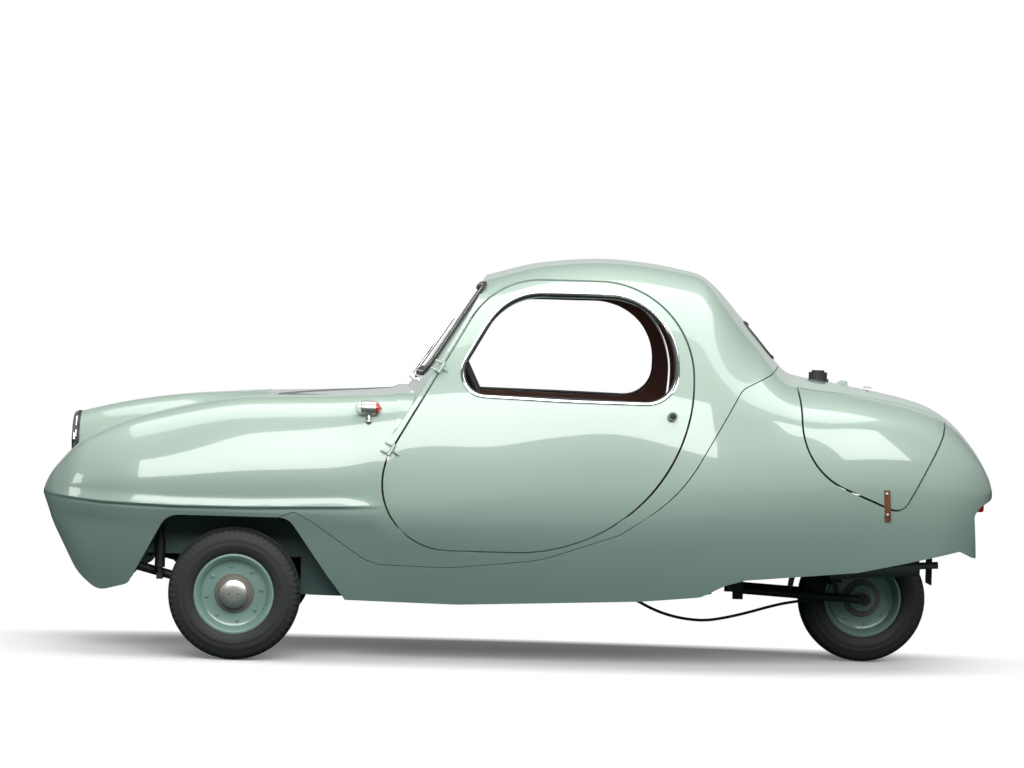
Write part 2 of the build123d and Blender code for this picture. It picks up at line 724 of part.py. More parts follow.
# ---------------------------------------------------------------- lamps and fittings
lamp_z = pod_circles[0][1]
lamp_face_x = pod_circles[0][0]
with BuildPart() as headlamp_bucket:
    add(rod((lamp_face_x - 10, 0, lamp_z), (lamp_face_x, 0, lamp_z), 92))
keep(headlamp_bucket, "headlamp_bucket")

with BuildPart() as headlamp_ring:
    with BuildSketch(Plane.XZ):
        with BuildLine():
            Polyline((lamp_face_x - 10, lamp_z + 76), (lamp_face_x - 10, lamp_z + 92))
            ThreePointArc((lamp_face_x - 10, lamp_z + 92), (lamp_face_x - 21, lamp_z + 87),
                          (lamp_face_x - 24, lamp_z + 78))
            Polyline((lamp_face_x - 24, lamp_z + 78), (lamp_face_x - 24, lamp_z + 76),
                     (lamp_face_x - 10, lamp_z + 76))
        make_face()
    revolve(axis=Axis((0, 0, lamp_z), (1, 0, 0)))
keep(headlamp_ring, "headlamp_ring")

lens_bulge = 268          # radius of the headlamp lens's face
with BuildPart() as headlamp_lens:
    add(rod((lamp_face_x - 31, 0, lamp_z), (lamp_face_x - 10, 0, lamp_z), 76))
    with Locations((lamp_face_x - 31 + lens_bulge, 0, lamp_z)):
        Sphere(lens_bulge, mode=Mode.INTERSECT)
keep(headlamp_lens, "headlamp_lens")

wing_lamp = (-483, 582, 760)
with BuildPart() as wing_lamp_bodies:
    x, y, z = wing_lamp
    add(rod((x - 22, y, z), (x + 21, y, z), 17))
    add(rod((x, y, z - 44), (x, y, z), 7))
    add(rod((x, y, z - 44), (x, y, z - 30), 14))
    add(outer_form, mode=Mode.SUBTRACT)
    mirror(about=Plane.XZ)
keep(wing_lamp_bodies, "wing_lamp_bodies")

with BuildPart() as wing_lamp_front_lenses:
    with BuildSketch(Plane.YZ.offset(x - 22)):
        with Locations((y, z)):
            Circle(15)
    extrude(amount=-18, taper=12)
    mirror(about=Plane.XZ)
keep(wing_lamp_front_lenses, "wing_lamp_front_lenses")

with BuildPart() as wing_lamp_rear_lenses:
    with BuildSketch(Plane.YZ.offset(x + 21)):
        with Locations((y, z)):
            Circle(14)
    extrude(amount=25, taper=22)
    mirror(about=Plane.XZ)
keep(wing_lamp_rear_lenses, "wing_lamp_rear_lenses")

cap_x = 928
with BuildPart() as filler_cap:
    add(rod((cap_x, 0, 860), (cap_x, 0, 890), 34))
    add(rod((cap_x, 0, 890), (cap_x, 0, 912), 29))
    add(rod((cap_x, 0, 912), (cap_x, 0, 918), 20))
    add(outer_form, mode=Mode.SUBTRACT)
keep(filler_cap, "filler_cap")

# One row a louvre: front, peak and rear in X, height of its peak.
louvres = ((960, 1016, 893), (1034, 1092, 876), (1108, 1166, 859))
louvre_half = 62
with BuildPart() as deck_louvres:
    for front, rear, height in louvres:
        add(side_prism([(front, height - 40, 0), (rear, height - 60, 0), (rear, height, 6)],
                       -louvre_half, louvre_half))
    add(outer_form, mode=Mode.SUBTRACT)
keep(deck_louvres, "deck_louvres")

with BuildPart() as tail_lamp_housing:
    add(block(1402, 1440, -34, 34, 482, 540))
    add(outer_form - side_prism(underside_outline, -side_reach, side_reach), mode=Mode.SUBTRACT)
keep(tail_lamp_housing, "tail_lamp_housing")

with BuildPart() as tail_lamp_lens:
    add(block(1440, 1462, -32, 32, 484, 516))
    fillet(tail_lamp_lens.edges().filter_by(Axis.Y).group_by(Axis.X)[-1], 8)
keep(tail_lamp_lens, "tail_lamp_lens")

# The doors' hinge line: it stands just clear of the skin where the body bulges most.
door_axis = ((-419, 641, 637), (-194, 523, 1030))
hinge_heights = (650, 900)
barrel_radius = 6
barrel_half = 19          # half length of a whole hinge
leaf_half = 8             # half length of a door's part of it
hinge_pin_radius = 3
hinge_play = 0.4
arm_reach = 30
arm_radius = 4


def hinge_line(height, out):
    """Middle of the hinge at a height, and the direction of its pin."""
    foot, head = (Vector(x, out * y, z) for x, y, z in door_axis)
    middle = foot + (head - foot) * ((height - foot.Z) / (head.Z - foot.Z))
    return middle, (head - foot).normalized()


def hinge_arm(start, along, reach):
    """Round arm square to the hinge pin."""
    return rod(start, start + reach - along * reach.dot(along), arm_radius)


latch_place = (428, 774)
for side, out in (("right", 1), ("left", -1)):
    with BuildPart() as hardware:
        x, z = latch_place
        add(rod((x, out * 560, z), (x, out * 616, z), 7))
        add(rod((x, out * 614, z), (x, out * 626, z), 12))
        for height in hinge_heights:
            middle, along = hinge_line(height, out)
            add(hinge_arm(middle, along, Vector(arm_reach, -out * arm_reach / 2, 0)))
            add(rod(middle - along * leaf_half, middle + along * leaf_half, barrel_radius))
            add(rod(middle - along * barrel_half, middle + along * barrel_half,
                    hinge_pin_radius + hinge_play), mode=Mode.SUBTRACT)
        add(outer_form, mode=Mode.SUBTRACT)
    keep(hardware, f"door_hardware_{side}")

with BuildPart() as door_hinge_brackets:
    for height in hinge_heights:
        middle, along = hinge_line(height, 1)
        add(rod(middle - along * barrel_half, middle + along * barrel_half, hinge_pin_radius))
        for end in (-1, 1):
            near = middle + along * (end * (leaf_half + hinge_play))
            far = middle + along * (end * barrel_half)
            centre = (near + far) / 2
            add(rod(near, far, barrel_radius))
            add(hinge_arm(centre, along, Vector(-arm_reach, -arm_reach / 2, 0)))
    add(outer_form, mode=Mode.SUBTRACT)
    mirror(about=Plane.XZ)
keep(door_hinge_brackets, "door_hinge_brackets")

# Leather straps that hold the rear lids shut.
strap_width = 20
for side, out in (("right", 1), ("left", -1)):
    with BuildPart() as strap:
        with BuildSketch(Plane.YZ.offset(1090)):
            with BuildLine():
                Polyline((out * 484, 556), (out * 487, 556), (out * 473, 474), (out * 470, 474),
                         close=True)
            make_face()
        extrude(amount=strap_width)
        add(rod((1100, out * 450, 544), (1100, out * 488, 544), 5))
        add(outer_form, mode=Mode.SUBTRACT)
    keep(strap, f"lid_strap_{side}")

with BuildPart() as wiper:
    glass = Plane(origin=(screen_base[0], 0, screen_base[1]), x_dir=(0, -1, 0),
                  z_dir=screen_plane(0).y_dir)
    foot = glass.from_local_coords((190, 18, -14))
    elbow = glass.from_local_coords((190, 18, 14))
    tip = glass.from_local_coords((60, 150, 12))
    add(rod(foot, elbow, 8))
    add(rod(elbow, tip, 4))
    add(rod(glass.from_local_coords((120, 60, 6.5)), glass.from_local_coords((0, 240, 6.5)), 4))
    add(outer_form, mode=Mode.SUBTRACT)
keep(wiper, "wiper")
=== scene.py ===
"""Looks of a small two-seat three wheeled car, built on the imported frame. Metres."""
import json
import math

import bmesh
import bpy
import numpy as np
from mathutils import Matrix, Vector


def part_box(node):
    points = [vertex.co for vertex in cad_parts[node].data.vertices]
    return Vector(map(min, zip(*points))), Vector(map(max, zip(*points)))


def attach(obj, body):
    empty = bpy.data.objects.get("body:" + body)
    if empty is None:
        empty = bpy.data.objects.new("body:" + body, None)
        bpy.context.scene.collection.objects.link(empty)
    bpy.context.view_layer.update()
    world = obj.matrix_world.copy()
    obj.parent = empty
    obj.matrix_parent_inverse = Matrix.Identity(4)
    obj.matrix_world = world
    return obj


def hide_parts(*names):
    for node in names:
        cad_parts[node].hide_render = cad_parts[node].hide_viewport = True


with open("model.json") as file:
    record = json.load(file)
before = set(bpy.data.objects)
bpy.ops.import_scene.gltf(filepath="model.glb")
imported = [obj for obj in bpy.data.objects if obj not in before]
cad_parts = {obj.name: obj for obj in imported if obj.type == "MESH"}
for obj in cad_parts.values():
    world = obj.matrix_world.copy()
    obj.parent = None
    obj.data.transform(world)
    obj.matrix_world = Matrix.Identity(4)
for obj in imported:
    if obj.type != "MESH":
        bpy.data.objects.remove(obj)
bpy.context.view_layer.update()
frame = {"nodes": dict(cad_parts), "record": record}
nodes = frame["nodes"]
scene = bpy.context.scene
MM = 0.001
sides = (("left", -1), ("right", 1))


def linked(name, data):
    """New object in the scene."""
    obj = bpy.data.objects.new(name, data)
    scene.collection.objects.link(obj)
    return obj


def merge_points(mesh, reach):
    """Joins points of a mesh that lie within a reach."""
    bm = bmesh.new()
    bm.from_mesh(mesh)
    bmesh.ops.remove_doubles(bm, verts=bm.verts, dist=reach)
    bm.to_mesh(mesh)
    bm.free()


# ---------------------------------------------------------------- materials
class Socket:
    """A shader value that adds, multiplies and mixes by making Math nodes."""

    def __init__(self, tree, out):
        self.tree, self.out = tree, out

    def _math(self, kind, *others):
        node = self.tree.nodes.new("ShaderNodeMath")
        node.operation = kind
        for index, value in enumerate((self,) + others):
            if isinstance(value, Socket):
                self.tree.links.new(value.out, node.inputs[index])
            else:
                node.inputs[index].default_value = value
        return Socket(self.tree, node.outputs[0])

    def __add__(self, other):
        return self._math("ADD", other)

    def __mul__(self, other):
        return self._math("MULTIPLY", other)

    def __sub__(self, other):
        return self._math("SUBTRACT", other)

    def above(self, edge, width):
        """0 below the edge, 1 above it, changing over a width."""
        share = (self - (edge - width / 2)) * (1 / width)
        return share._math("MAXIMUM", 0.0)._math("MINIMUM", 1.0)

    def sine(self):
        return self._math("SINE")


class Finish:
    """A Principled material built up from plain values, noise and mixes."""

    def __init__(self, name, color, roughness, metallic=0.0, coat=0.0, alpha=1.0):
        self.material = bpy.data.materials.new(name)
        self.material.use_nodes = True
        self.tree = self.material.node_tree
        self.shader = self.tree.nodes["Principled BSDF"]
        for key, value in (("Base Color", (*color, 1)), ("Roughness", roughness),
                           ("Metallic", metallic), ("Coat Weight", coat),
                           ("Coat Roughness", 0.03), ("Alpha", alpha)):
            self.shader.inputs[key].default_value = value
        self.material.diffuse_color = (*color, 1)

    def place(self, axis):
        """Object coordinate along X, Y or Z."""
        where = self.tree.nodes.new("ShaderNodeTexCoord")
        split = self.tree.nodes.new("ShaderNodeSeparateXYZ")
        self.tree.links.new(where.outputs["Object"], split.inputs[0])
        return Socket(self.tree, split.outputs[axis])

    def noise(self, scale, detail=3.0):
        where = self.tree.nodes.new("ShaderNodeTexCoord")
        node = self.tree.nodes.new("ShaderNodeTexNoise")
        node.inputs["Scale"].default_value = scale
        node.inputs["Detail"].default_value = detail
        self.tree.links.new(where.outputs["Object"], node.inputs["Vector"])
        return Socket(self.tree, node.outputs["Fac"])

    def tint(self, factor, color):
        """Mixes another colour in by a factor."""
        mix = self.tree.nodes.new("ShaderNodeMix")
        mix.data_type = "RGBA"
        base = self.shader.inputs["Base Color"]
        if base.links:
            self.tree.links.new(base.links[0].from_socket, mix.inputs["A"])
        else:
            mix.inputs["A"].default_value = base.default_value
        mix.inputs["B"].default_value = (*color, 1)
        self.tree.links.new(factor.out, mix.inputs["Factor"])
        self.tree.links.new(mix.outputs["Result"], base)
        return self

    def rough(self, value):
        self.tree.links.new(value.out, self.shader.inputs["Roughness"])
        return self

    def bump(self, height, strength, distance=0.001):
        node = self.tree.nodes.new("ShaderNodeBump")
        node.inputs["Strength"].default_value = strength
        node.inputs["Distance"].default_value = distance
        self.tree.links.new(height.out, node.inputs["Height"])
        self.tree.links.new(node.outputs[0], self.shader.inputs["Normal"])
        return self


paint = Finish("body paint", (0.30, 0.385, 0.325), 0.35, coat=1.0)
paint.bump(paint.noise(7, 1), 0.04, 0.004)
# Painted shade: the paint is tinted darker towards the bottom, where the low surfaces face the floor
# and lie in shade.
painted_low_shade = (paint.place("Z") * -1 + 0.60).above(0.15, 0.42)
paint.tint(painted_low_shade * 0.55, (0.10, 0.175, 0.165))
# The underside paint is the body colour darkened as painted shade, for the wheel wells and the inner
# faces that lie in shadow.
shaded_paint = Finish("shaded body paint", (0.075, 0.13, 0.12), 0.5, coat=0.2)
lining = Finish("cabin lining", (0.17, 0.075, 0.055), 0.8)
lining.bump(lining.noise(900), 0.4)
rubber = Finish("black rubber", (0.012, 0.012, 0.012), 0.6)
rubber.rough(rubber.noise(60) * 0.3 + 0.45)
tyre_rubber = Finish("tyre rubber", (0.009, 0.0095, 0.010), 0.62)
tyre_rubber.tint(tyre_rubber.noise(35) * 0.25, (0.022, 0.021, 0.020))
rim_paint = Finish("rim paint", (0.17, 0.27, 0.235), 0.3, coat=0.8)
hub_metal = Finish("hub casting", (0.16, 0.14, 0.12), 0.55, metallic=0.5)
hub_metal.bump(hub_metal.noise(240), 0.3)
satin = Finish("satin metal", (0.55, 0.53, 0.49), 0.34, metallic=1.0)
satin.rough(satin.noise(220) * 0.12 + 0.28)
chrome = Finish("chrome", (0.82, 0.82, 0.82), 0.08, metallic=1.0)
black_paint = Finish("chassis black", (0.018, 0.018, 0.017), 0.5)
black_paint.rough(black_paint.noise(80) * 0.3 + 0.35)
cast = Finish("bare casting", (0.16, 0.16, 0.155), 0.55, metallic=0.8)
cast.bump(cast.noise(500), 0.3)
exhaust_steel = Finish("dull steel", (0.20, 0.19, 0.17), 0.45, metallic=1.0)
glass = Finish("clear glass", (0.30, 0.27, 0.25), 0.03, alpha=0.13)
lamp_glass = Finish("ribbed lamp glass", (0.85, 0.88, 0.88), 0.08, coat=1.0, alpha=0.55)
lamp_glass.bump((lamp_glass.place("Y") * 900).sine(), 0.6, 0.0015)
red_glass = Finish("red lens", (0.45, 0.008, 0.008), 0.12, coat=1.0)
leather = Finish("strap leather", (0.15, 0.055, 0.02), 0.55)
leather.bump(leather.noise(700), 0.35)
seat_cover = Finish("seat cover", (0.12, 0.035, 0.022), 0.5)
seat_cover.bump(seat_cover.noise(600), 0.25)

finish_of_slot = {
    "body_paint": paint, "underside": shaded_paint, "lining": lining, "clear_glass": glass,
    "tyre_rubber": tyre_rubber, "rim_paint": rim_paint, "satin_metal": satin,
    "chassis_black": black_paint, "black_rubber": rubber, "cast_metal": cast,
    "exhaust_steel": exhaust_steel, "cable_black": rubber, "gauge_black": rubber,
    "seat_cloth": seat_cover, "chrome": chrome, "lamp_glass": lamp_glass,
    "red_lens": red_glass, "strap_leather": leather,
}
for entry in frame["record"]["subparts"]:
    node = nodes[entry["node"]]
    for material_slot in node.material_slots:
        material_slot.material = finish_of_slot[entry["material_slot"]].material
for side in ("left", "right"):
    for material_slot in nodes[f"door_hardware_{side}"].material_slots:
        material_slot.material = paint.material


# ---------------------------------------------------------------- body surface
# The body is one smooth skin of fibreglass. One row a cross section in millimetres: x, then
# corner points of the right half as (y, z), from the belly up to the middle of the roof.
section_rows = [
    (-1475, (300, 470), (356, 474), (384, 477), (390, 480), (392, 486),
     (386, 491), (370, 494), (160, 494), (0, 494)),
    (-1466, (316, 436), (376, 450), (412, 462), (424, 472), (430, 486),
     (424, 500), (388, 522), (160, 519), (0, 519)),
    (-1432, (350, 340), (424, 386), (468, 432), (492, 460), (506, 484),
     (500, 518), (458, 574), (200, 565), (0, 560)),
    (-1335, (400, 205), (476, 316), (526, 402), (562, 444), (582, 472),
     (582, 560), (504, 676), (230, 630), (0, 624)),
    (-1150, (420, 130), (516, 296), (573, 392), (605, 436), (622, 464),
     (616, 590), (506, 752), (260, 706), (0, 702)),
    (-850, (450, 130), (528, 296), (578, 388), (610, 432), (630, 462),
     (626, 610), (540, 800), (280, 788), (0, 784)),
    (-600, (470, 130), (545, 298), (590, 388), (618, 434), (632, 464),
     (628, 620), (552, 806), (300, 806), (0, 810)),
    (-470, (478, 130), (552, 300), (600, 392), (628, 440), (635, 470),
     (628, 640), (566, 812), (320, 816), (0, 820)),
    (-400, (480, 130), (560, 300), (618, 405), (634, 452), (638, 500),
     (627, 660), (574, 816), (330, 828), (0, 836)),
    (-398, (480, 130), (560, 300), (618, 405), (634, 452), (637, 500),
     (623, 665), (577, 862), (350, 1045), (0, 1090)),
    (-110, (485, 130), (564, 300), (622, 415), (634, 470), (636, 530),
     (622, 680), (585, 862), (395, 1155), (0, 1210)),
    (60, (488, 130), (566, 302), (624, 425), (634, 485), (635, 550),
     (624, 688), (592, 866), (400, 1195), (0, 1252)),
    (230, (490, 130), (568, 305), (624, 432), (634, 495), (634, 560),
     (626, 695), (596, 866), (405, 1210), (0, 1265)),
    (520, (480, 130), (556, 310), (614, 445), (627, 510), (628, 580),
     (614, 700), (576, 860), (370, 1182), (0, 1228)),
    (700, (460, 130), (538, 320), (592, 455), (605, 525), (604, 590),
     (588, 700), (544, 836), (320, 1000), (0, 1070)),
    (830, (430, 130), (508, 330), (560, 462), (574, 535), (572, 600),
     (556, 700), (510, 812), (290, 886), (0, 914)),
    (1000, (390, 130), (462, 335), (510, 470), (524, 545), (522, 610),
     (506, 700), (462, 800), (250, 862), (0, 880)),
    (1250, (310, 130), (374, 340), (412, 480), (420, 550), (416, 600),
     (400, 680), (356, 748), (190, 808), (0, 826)),
    (1330, (276, 200), (330, 370), (366, 490), (374, 545), (370, 592),
     (352, 654), (310, 710), (170, 764), (0, 782)),
    (1410, (220, 320), (262, 420), (290, 500), (298, 542), (294, 574),
     (280, 614), (244, 650), (130, 682), (0, 692)),
    (1450, (160, 460), (196, 490), (218, 515), (226, 536), (224, 560),
     (210, 582), (180, 600), (96, 614), (0, 620)),
    (1466, (110, 520), (136, 526), (152, 532), (158, 540), (156, 552),
     (146, 562), (126, 570), (66, 576), (0, 578)),
]
row_x = np.array([row[0] for row in section_rows], float)
row_points = np.array([row[1:] for row in section_rows], float)


def monotone_slopes(x, values):
    """Slopes that carry each control value smoothly past its rows without overshoot."""
    step = np.diff(x)[:, None, None]
    chord = np.diff(values, axis=0) / step
    slopes = np.zeros_like(values)
    left, right = chord[:-1], chord[1:]
    same = left * right > 0
    weight_a = 2 * step[1:] + step[:-1]
    weight_b = step[1:] + 2 * step[:-1]
    with np.errstate(divide="ignore", invalid="ignore"):
        mean = (weight_a + weight_b) / (weight_a / left + weight_b / right)
    slopes[1:-1] = np.where(same, mean, 0)
    slopes[0], slopes[-1] = chord[0], chord[-1]
    return slopes


row_slopes = monotone_slopes(row_x, row_points)


def corner_points(x):
    """Corner points of the half section at each x."""
    x = np.atleast_1d(x)
    k = np.clip(np.searchsorted(row_x, x, side="right") - 1, 0, len(row_x) - 2)
    h = (row_x[k + 1] - row_x[k])[:, None, None]
    t = ((x - row_x[k]) / (row_x[k + 1] - row_x[k]))[:, None, None]
    a, b, ma, mb = row_points[k], row_points[k + 1], row_slopes[k] * h, row_slopes[k + 1] * h
    return (2*t**3 - 3*t**2 + 1)*a + (t**3 - 2*t**2 + t)*ma + (3*t**2 - 2*t**3)*b + (t**3 - t**2)*mb


crest_line = ((-1475, 486), (-1440, 485), (-1281, 472), (-1056, 466), (-830, 468), (-607, 475),
              (-440, 480))
lip_reach = ((-1475, 0), (-1430, 7), (-1300, 11), (-560, 11), (-430, 0))
lip_above = 34
lip_below = 9


def skin_section(x, across):
    """Smooth half sections at each x: a quadratic spline guided by the corner points, and a lip."""
    x = np.atleast_1d(x)
    corners = corner_points(x)
    first = 2 * corners[:, :1] - corners[:, 1:2]
    mirrored = corners[:, -2:-1] * np.array([-1, 1])
    guide = np.concatenate([first, corners, mirrored], axis=1)
    count = corners.shape[1]
    even = np.linspace(0, 1, across)
    u = np.interp(even, (0, 0.22, 0.58, 1), (0.5, 3.4, 5.4, count - 0.5))
    k = np.clip(np.floor(u).astype(int), 0, count - 1)
    t = (u - k)[None, :, None]
    a, b, c = guide[:, k], guide[:, k + 1], guide[:, k + 2]
    curve = 0.5 * (1 - t)**2 * a + (0.5 + t * (1 - t)) * b + 0.5 * t**2 * c
    crest = np.interp(x, *np.transpose(crest_line))[:, None]
    reach = np.interp(x, *np.transpose(lip_reach))[:, None]
    rise = curve[..., 1] - crest
    lip = np.where(rise > 0, np.clip(1 - rise / lip_above, 0, 1)**2,
                   np.clip(1 + rise / lip_below, 0, 1))
    curve[..., 0] += np.where(np.arange(across) < 0.7 * across, lip * reach, 0)
    return curve


pod_front, pod_back, pod_foot = -1402, -800, 560
pod_radius, pod_widening = 91, 30
pod_top, pod_rise = 722, 78
pod_blend = 16
notch_radius, notch_z = 93, 631


def pod_height(x, y, z):
    """Raises the skin into the ridge that runs back from the headlamp."""
    share = np.clip((x - pod_front) / (pod_back - pod_front), 0, 1)
    radius = pod_radius + pod_widening * share
    middle = pod_top + pod_rise * (1 - (1 - share)**2.2) - radius
    ridge = middle + np.sqrt(np.maximum(radius**2 - y**2, 0))
    ridge = np.where(np.abs(y) < radius, ridge, 0)
    blend = pod_blend + pod_widening * share
    gap = np.maximum(blend - np.abs(z - ridge), 0) / blend
    lifted = np.maximum(z, ridge) + gap**2 * blend / 4
    on_pod = (x >= pod_front) & (x < pod_back) & (z > pod_foot) & (np.abs(y) < radius + blend)
    return np.where(on_pod, lifted, z)


screen_foot = (-362, 846)
screen_head = (-128, 1196)
screen_bow = 3500
screen_slope = (screen_head[0] - screen_foot[0]) / (screen_head[1] - screen_foot[1])
glass_length = math.hypot(1, screen_slope)


def screen_x(y, z):
    """X of the bowed windscreen surface at each height."""
    return screen_foot[0] + (z - screen_foot[1]) * screen_slope + y**2 / (2 * screen_bow)


def screen_z(x, y):
    """Height of the bowed windscreen surface at each place."""
    return screen_foot[1] + (x - screen_foot[0] - y**2 / (2 * screen_bow)) / screen_slope


def hood_z(y):
    """Height of the bonnet's rear end, which runs on beneath the windscreen."""
    curve = skin_section(-400.5, 96)[0]
    widest = int(np.argmax(curve[:, 0]))
    top = curve[widest:][::-1]
    return np.interp(np.abs(y), top[:, 0], top[:, 1])


def skin_grid():
    """Vertices and triangles of the whole skin, before any panel is cut."""
    stretches = ((row_x[0], -1380, 40), (-1380, -400, 100), (-398, -90, 56), (-90, 1380, 130))
    stations = [np.linspace(start, end, count, endpoint=False) for start, end, count in stretches]
    x = np.sort(np.concatenate(stations + [[pod_front], np.linspace(1380, row_x[-1], 40)]))
    half = skin_section(x, 150)
    full = np.concatenate([half, half[:, -2::-1] * np.array([-1, 1])], axis=1)
    rows, across = full.shape[:2]
    points = np.empty((rows, across, 3))
    points[..., 0] = x[:, None]
    points[..., 1:] = full
    points[..., 2] = pod_height(points[..., 0], points[..., 1], points[..., 2])
    index = np.arange(rows * across).reshape(rows, across)
    a, b, c, d = index[:-1, :-1], index[1:, :-1], index[1:, 1:], index[:-1, 1:]
    tris = np.concatenate([np.stack(corners, -1).reshape(-1, 3) for corners in ((a, c, b), (a, d, c))])
    return points.reshape(-1, 3), tris


def split(points, tris, field):
    """Cuts triangles where a field of the points crosses zero: (points, below, above)."""
    value = field(points)
    value = np.where(np.abs(value) < 1e-6, 1e-6, value)
    side = value > 0
    count = side[tris].sum(1)
    below = [tris[count == 0]]
    above = [tris[count == 3]]
    added, seen = [], {}
    base = len(points)

    def crossing(i, j):
        key = (i, j) if i < j else (j, i)
        if key not in seen:
            t = value[i] / (value[i] - value[j])
            seen[key] = base + len(added)
            added.append(points[i] + (points[j] - points[i]) * t)
        return seen[key]

    new = {True: [], False: []}
    for tri in tris[(count == 1) | (count == 2)]:
        for turn in range(3):
            i, j, k = np.roll(tri, -turn)
            if side[i] != side[j] and side[i] != side[k]:
                p, q = crossing(i, j), crossing(i, k)
                new[bool(side[i])].append((i, p, q))
                new[not side[i]].extend([(p, j, k), (p, k, q)])
                break
    if added:
        points = np.concatenate([points, np.array(added)])
    for kept, extra in ((below, new[False]), (above, new[True])):
        if extra:
            kept.append(np.array(extra))
    return points, np.concatenate(below), np.concatenate(above)


def rounded_outline(corners):
    """Closed polyline through corners (x, z, radius) with their arcs."""
    line = []
    count = len(corners)
    for index, (x, z, radius) in enumerate(corners):
        here = np.array([x, z], float)
        back = np.array(corners[index - 1][:2]) - here
        on = np.array(corners[(index + 1) % count][:2]) - here
        back /= np.linalg.norm(back)
        on /= np.linalg.norm(on)
        if radius == 0:
            line.append(here)
            continue
        half = math.acos(np.clip(back @ on, -1, 1)) / 2
        centre = here + (back + on) / np.linalg.norm(back + on) * radius / math.sin(half)
        start = here + back * radius / math.tan(half) - centre
        end = here + on * radius / math.tan(half) - centre
        sweep = math.pi - 2 * half
        steps = max(3, int(sweep * radius / 12))
        turn = np.sign(start[0] * end[1] - start[1] * end[0])
        for step in range(steps + 1):
            angle = turn * sweep * step / steps
            c, s = math.cos(angle), math.sin(angle)
            line.append(centre + np.array([start[0]*c - start[1]*s, start[0]*s + start[1]*c]))
    return np.array(line)


def inside(corners, grow=0.0, axes=(0, 2)):
    """Field that is positive inside a rounded outline grown by some millimetres."""
    line = rounded_outline(corners)
    following = np.roll(line, -1, axis=0)

    def field(points):
        place = points[:, axes]
        nearest = np.full(len(place), 1e9)
        crossings = np.zeros(len(place), int)
        for a, b in zip(line, following):
            edge = b - a
            t = np.clip((place - a) @ edge / (edge @ edge + 1e-12), 0, 1)
            nearest = np.minimum(nearest, np.linalg.norm(place - a - t[:, None] * edge, axis=1))
            spans = (a[1] > place[:, 1]) != (b[1] > place[:, 1])
            if edge[1]:
                crossings += spans & (place[:, 0] < a[0] + (place[:, 1] - a[1]) * edge[0] / edge[1])
        return np.where(crossings % 2 == 1, nearest, -nearest) + grow

    return field


underside_outline = [
    (-1700, 520, 0), (-1474, 452, 0), (-1366, 241, 150), (-1300, 186, 50), (-1203, 214, 30),
    (-1190, 240, 0), (-541, 186, 0), (-200, 182, 0), (360, 209, 0), (535, 226, 60), (609, 265, 60),
    (669, 282, 0), (1020, 310, 0), (1346, 375, 0), (1409, 349, 0), (1389, 487, 20),
    (1412, 514, 20), (1476, 541, 0), (1700, 541, 0), (1700, -200, 0), (-1700, -200, 0),
]
arch_outline = [
    (-1196, 90, 0), (-1190, 240, 60), (-1082, 436, 60), (-716, 437, 50), (-600, 265, 120),
    (-541, 186, 20), (-541, 90, 0),
]
rear_shell_outline = [
    (812, 1010, 0), (785, 935, 0), (741, 904, 0), (643, 859, 60), (457, 536, 500), (281, 413, 0),
    (43, 327, 400), (-226, 296, 600), (-466, 300, 150), (-644, 425, 60), (-700, 455, 0),
    (-760, 430, 0), (-760, 90, 0), (1700, 90, 0), (1700, 1010, 0),
]
door_outline = [(-109, 1172, 250), (491, 1172, 280), (491, 352, 530), (-579, 352, 200)]
window_outline = [(-74, 1130, 190), (440, 1130, 205), (440, 808, 95), (-252, 820, 70)]
lid_outline = [(830, 1000, 0), (830, 625, 215), (1144, 495, 40), (1360, 872, 0), (1360, 1000, 0)]
lid_top_edge = [(830, 345), (1311, 190)]
rear_window_outline = [(-230, 958, 40), (230, 958, 40), (180, 1060, 40), (-180, 1060, 40)]
screen_outline = [(-420, 42, 50), (420, 42, 50), (330, 372, 50), (-330, 372, 50)]


def lid_field(grow):
    """Positive inside a rear lid: its side outline, outboard of its upper edge."""
    side_view = inside(lid_outline, grow)
    (x0, y0), (x1, y1) = lid_top_edge
    slope = (y1 - y0) / (x1 - x0)

    def field(points):
        outboard = np.abs(points[:, 1]) - (y0 + slope * (points[:, 0] - x0)) + grow
        return np.minimum(side_view(points), outboard)

    return field


def screen_field(grow):
    """Positive inside the windscreen opening."""
    def field(points):
        up = (points[:, 2] - screen_foot[1]) * glass_length
        flat = np.stack([points[:, 1], up], 1)
        near = np.abs(points[:, 0] - screen_x(points[:, 1], points[:, 2])) < 40
        return np.where(near, opening(flat), -1e3)

    opening = inside(screen_outline, grow, (0, 1))
    return field


def rear_window_field(grow):
    opening = inside(rear_window_outline, grow, (1, 2))
    return lambda points: np.where(points[:, 0] > 500, opening(points), -1e3)


def notch_field(points):
    """Positive in the round recess in front of the headlamp."""
    from_middle = np.hypot(points[:, 1], points[:, 2] - notch_z)
    return np.minimum(notch_radius - from_middle, pod_front + 0.5 - points[:, 0])


def smooth_normals(points, tris):
    """Vertex normals, outwards."""
    a, b, c = (points[tris[:, k]] for k in range(3))
    face = np.cross(b - a, c - a)
    normals = np.zeros_like(points)
    for k in range(3):
        np.add.at(normals, tris[:, k], face)
    return normals / np.maximum(np.linalg.norm(normals, axis=1), 1e-12)[:, None]


def finished_mesh(name, points, faces, normals=None, finishes=(), face_finish=None, body="car"):
    """Object from points in millimetres, riding on a body."""
    mesh = bpy.data.meshes.new(name)
    mesh.from_pydata((np.asarray(points) * MM).tolist(), [], [list(map(int, f)) for f in faces])
    for finish in finishes:
        mesh.materials.append(finish.material)
    if face_finish is not None:
        mesh.polygons.foreach_set("material_index", np.asarray(face_finish, np.int32))
    mesh.validate()
    mesh.shade_smooth()
    if normals is not None:
        mesh.normals_split_custom_set_from_vertices(np.asarray(normals).tolist())
    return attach(linked(name, mesh), body)


# Inner faces between these places take the cabin's lining, and the others the last finish, which on the
# body and lids is the paint darkened as painted shade.
cabin_front_x, bulkhead_x = -420, 560


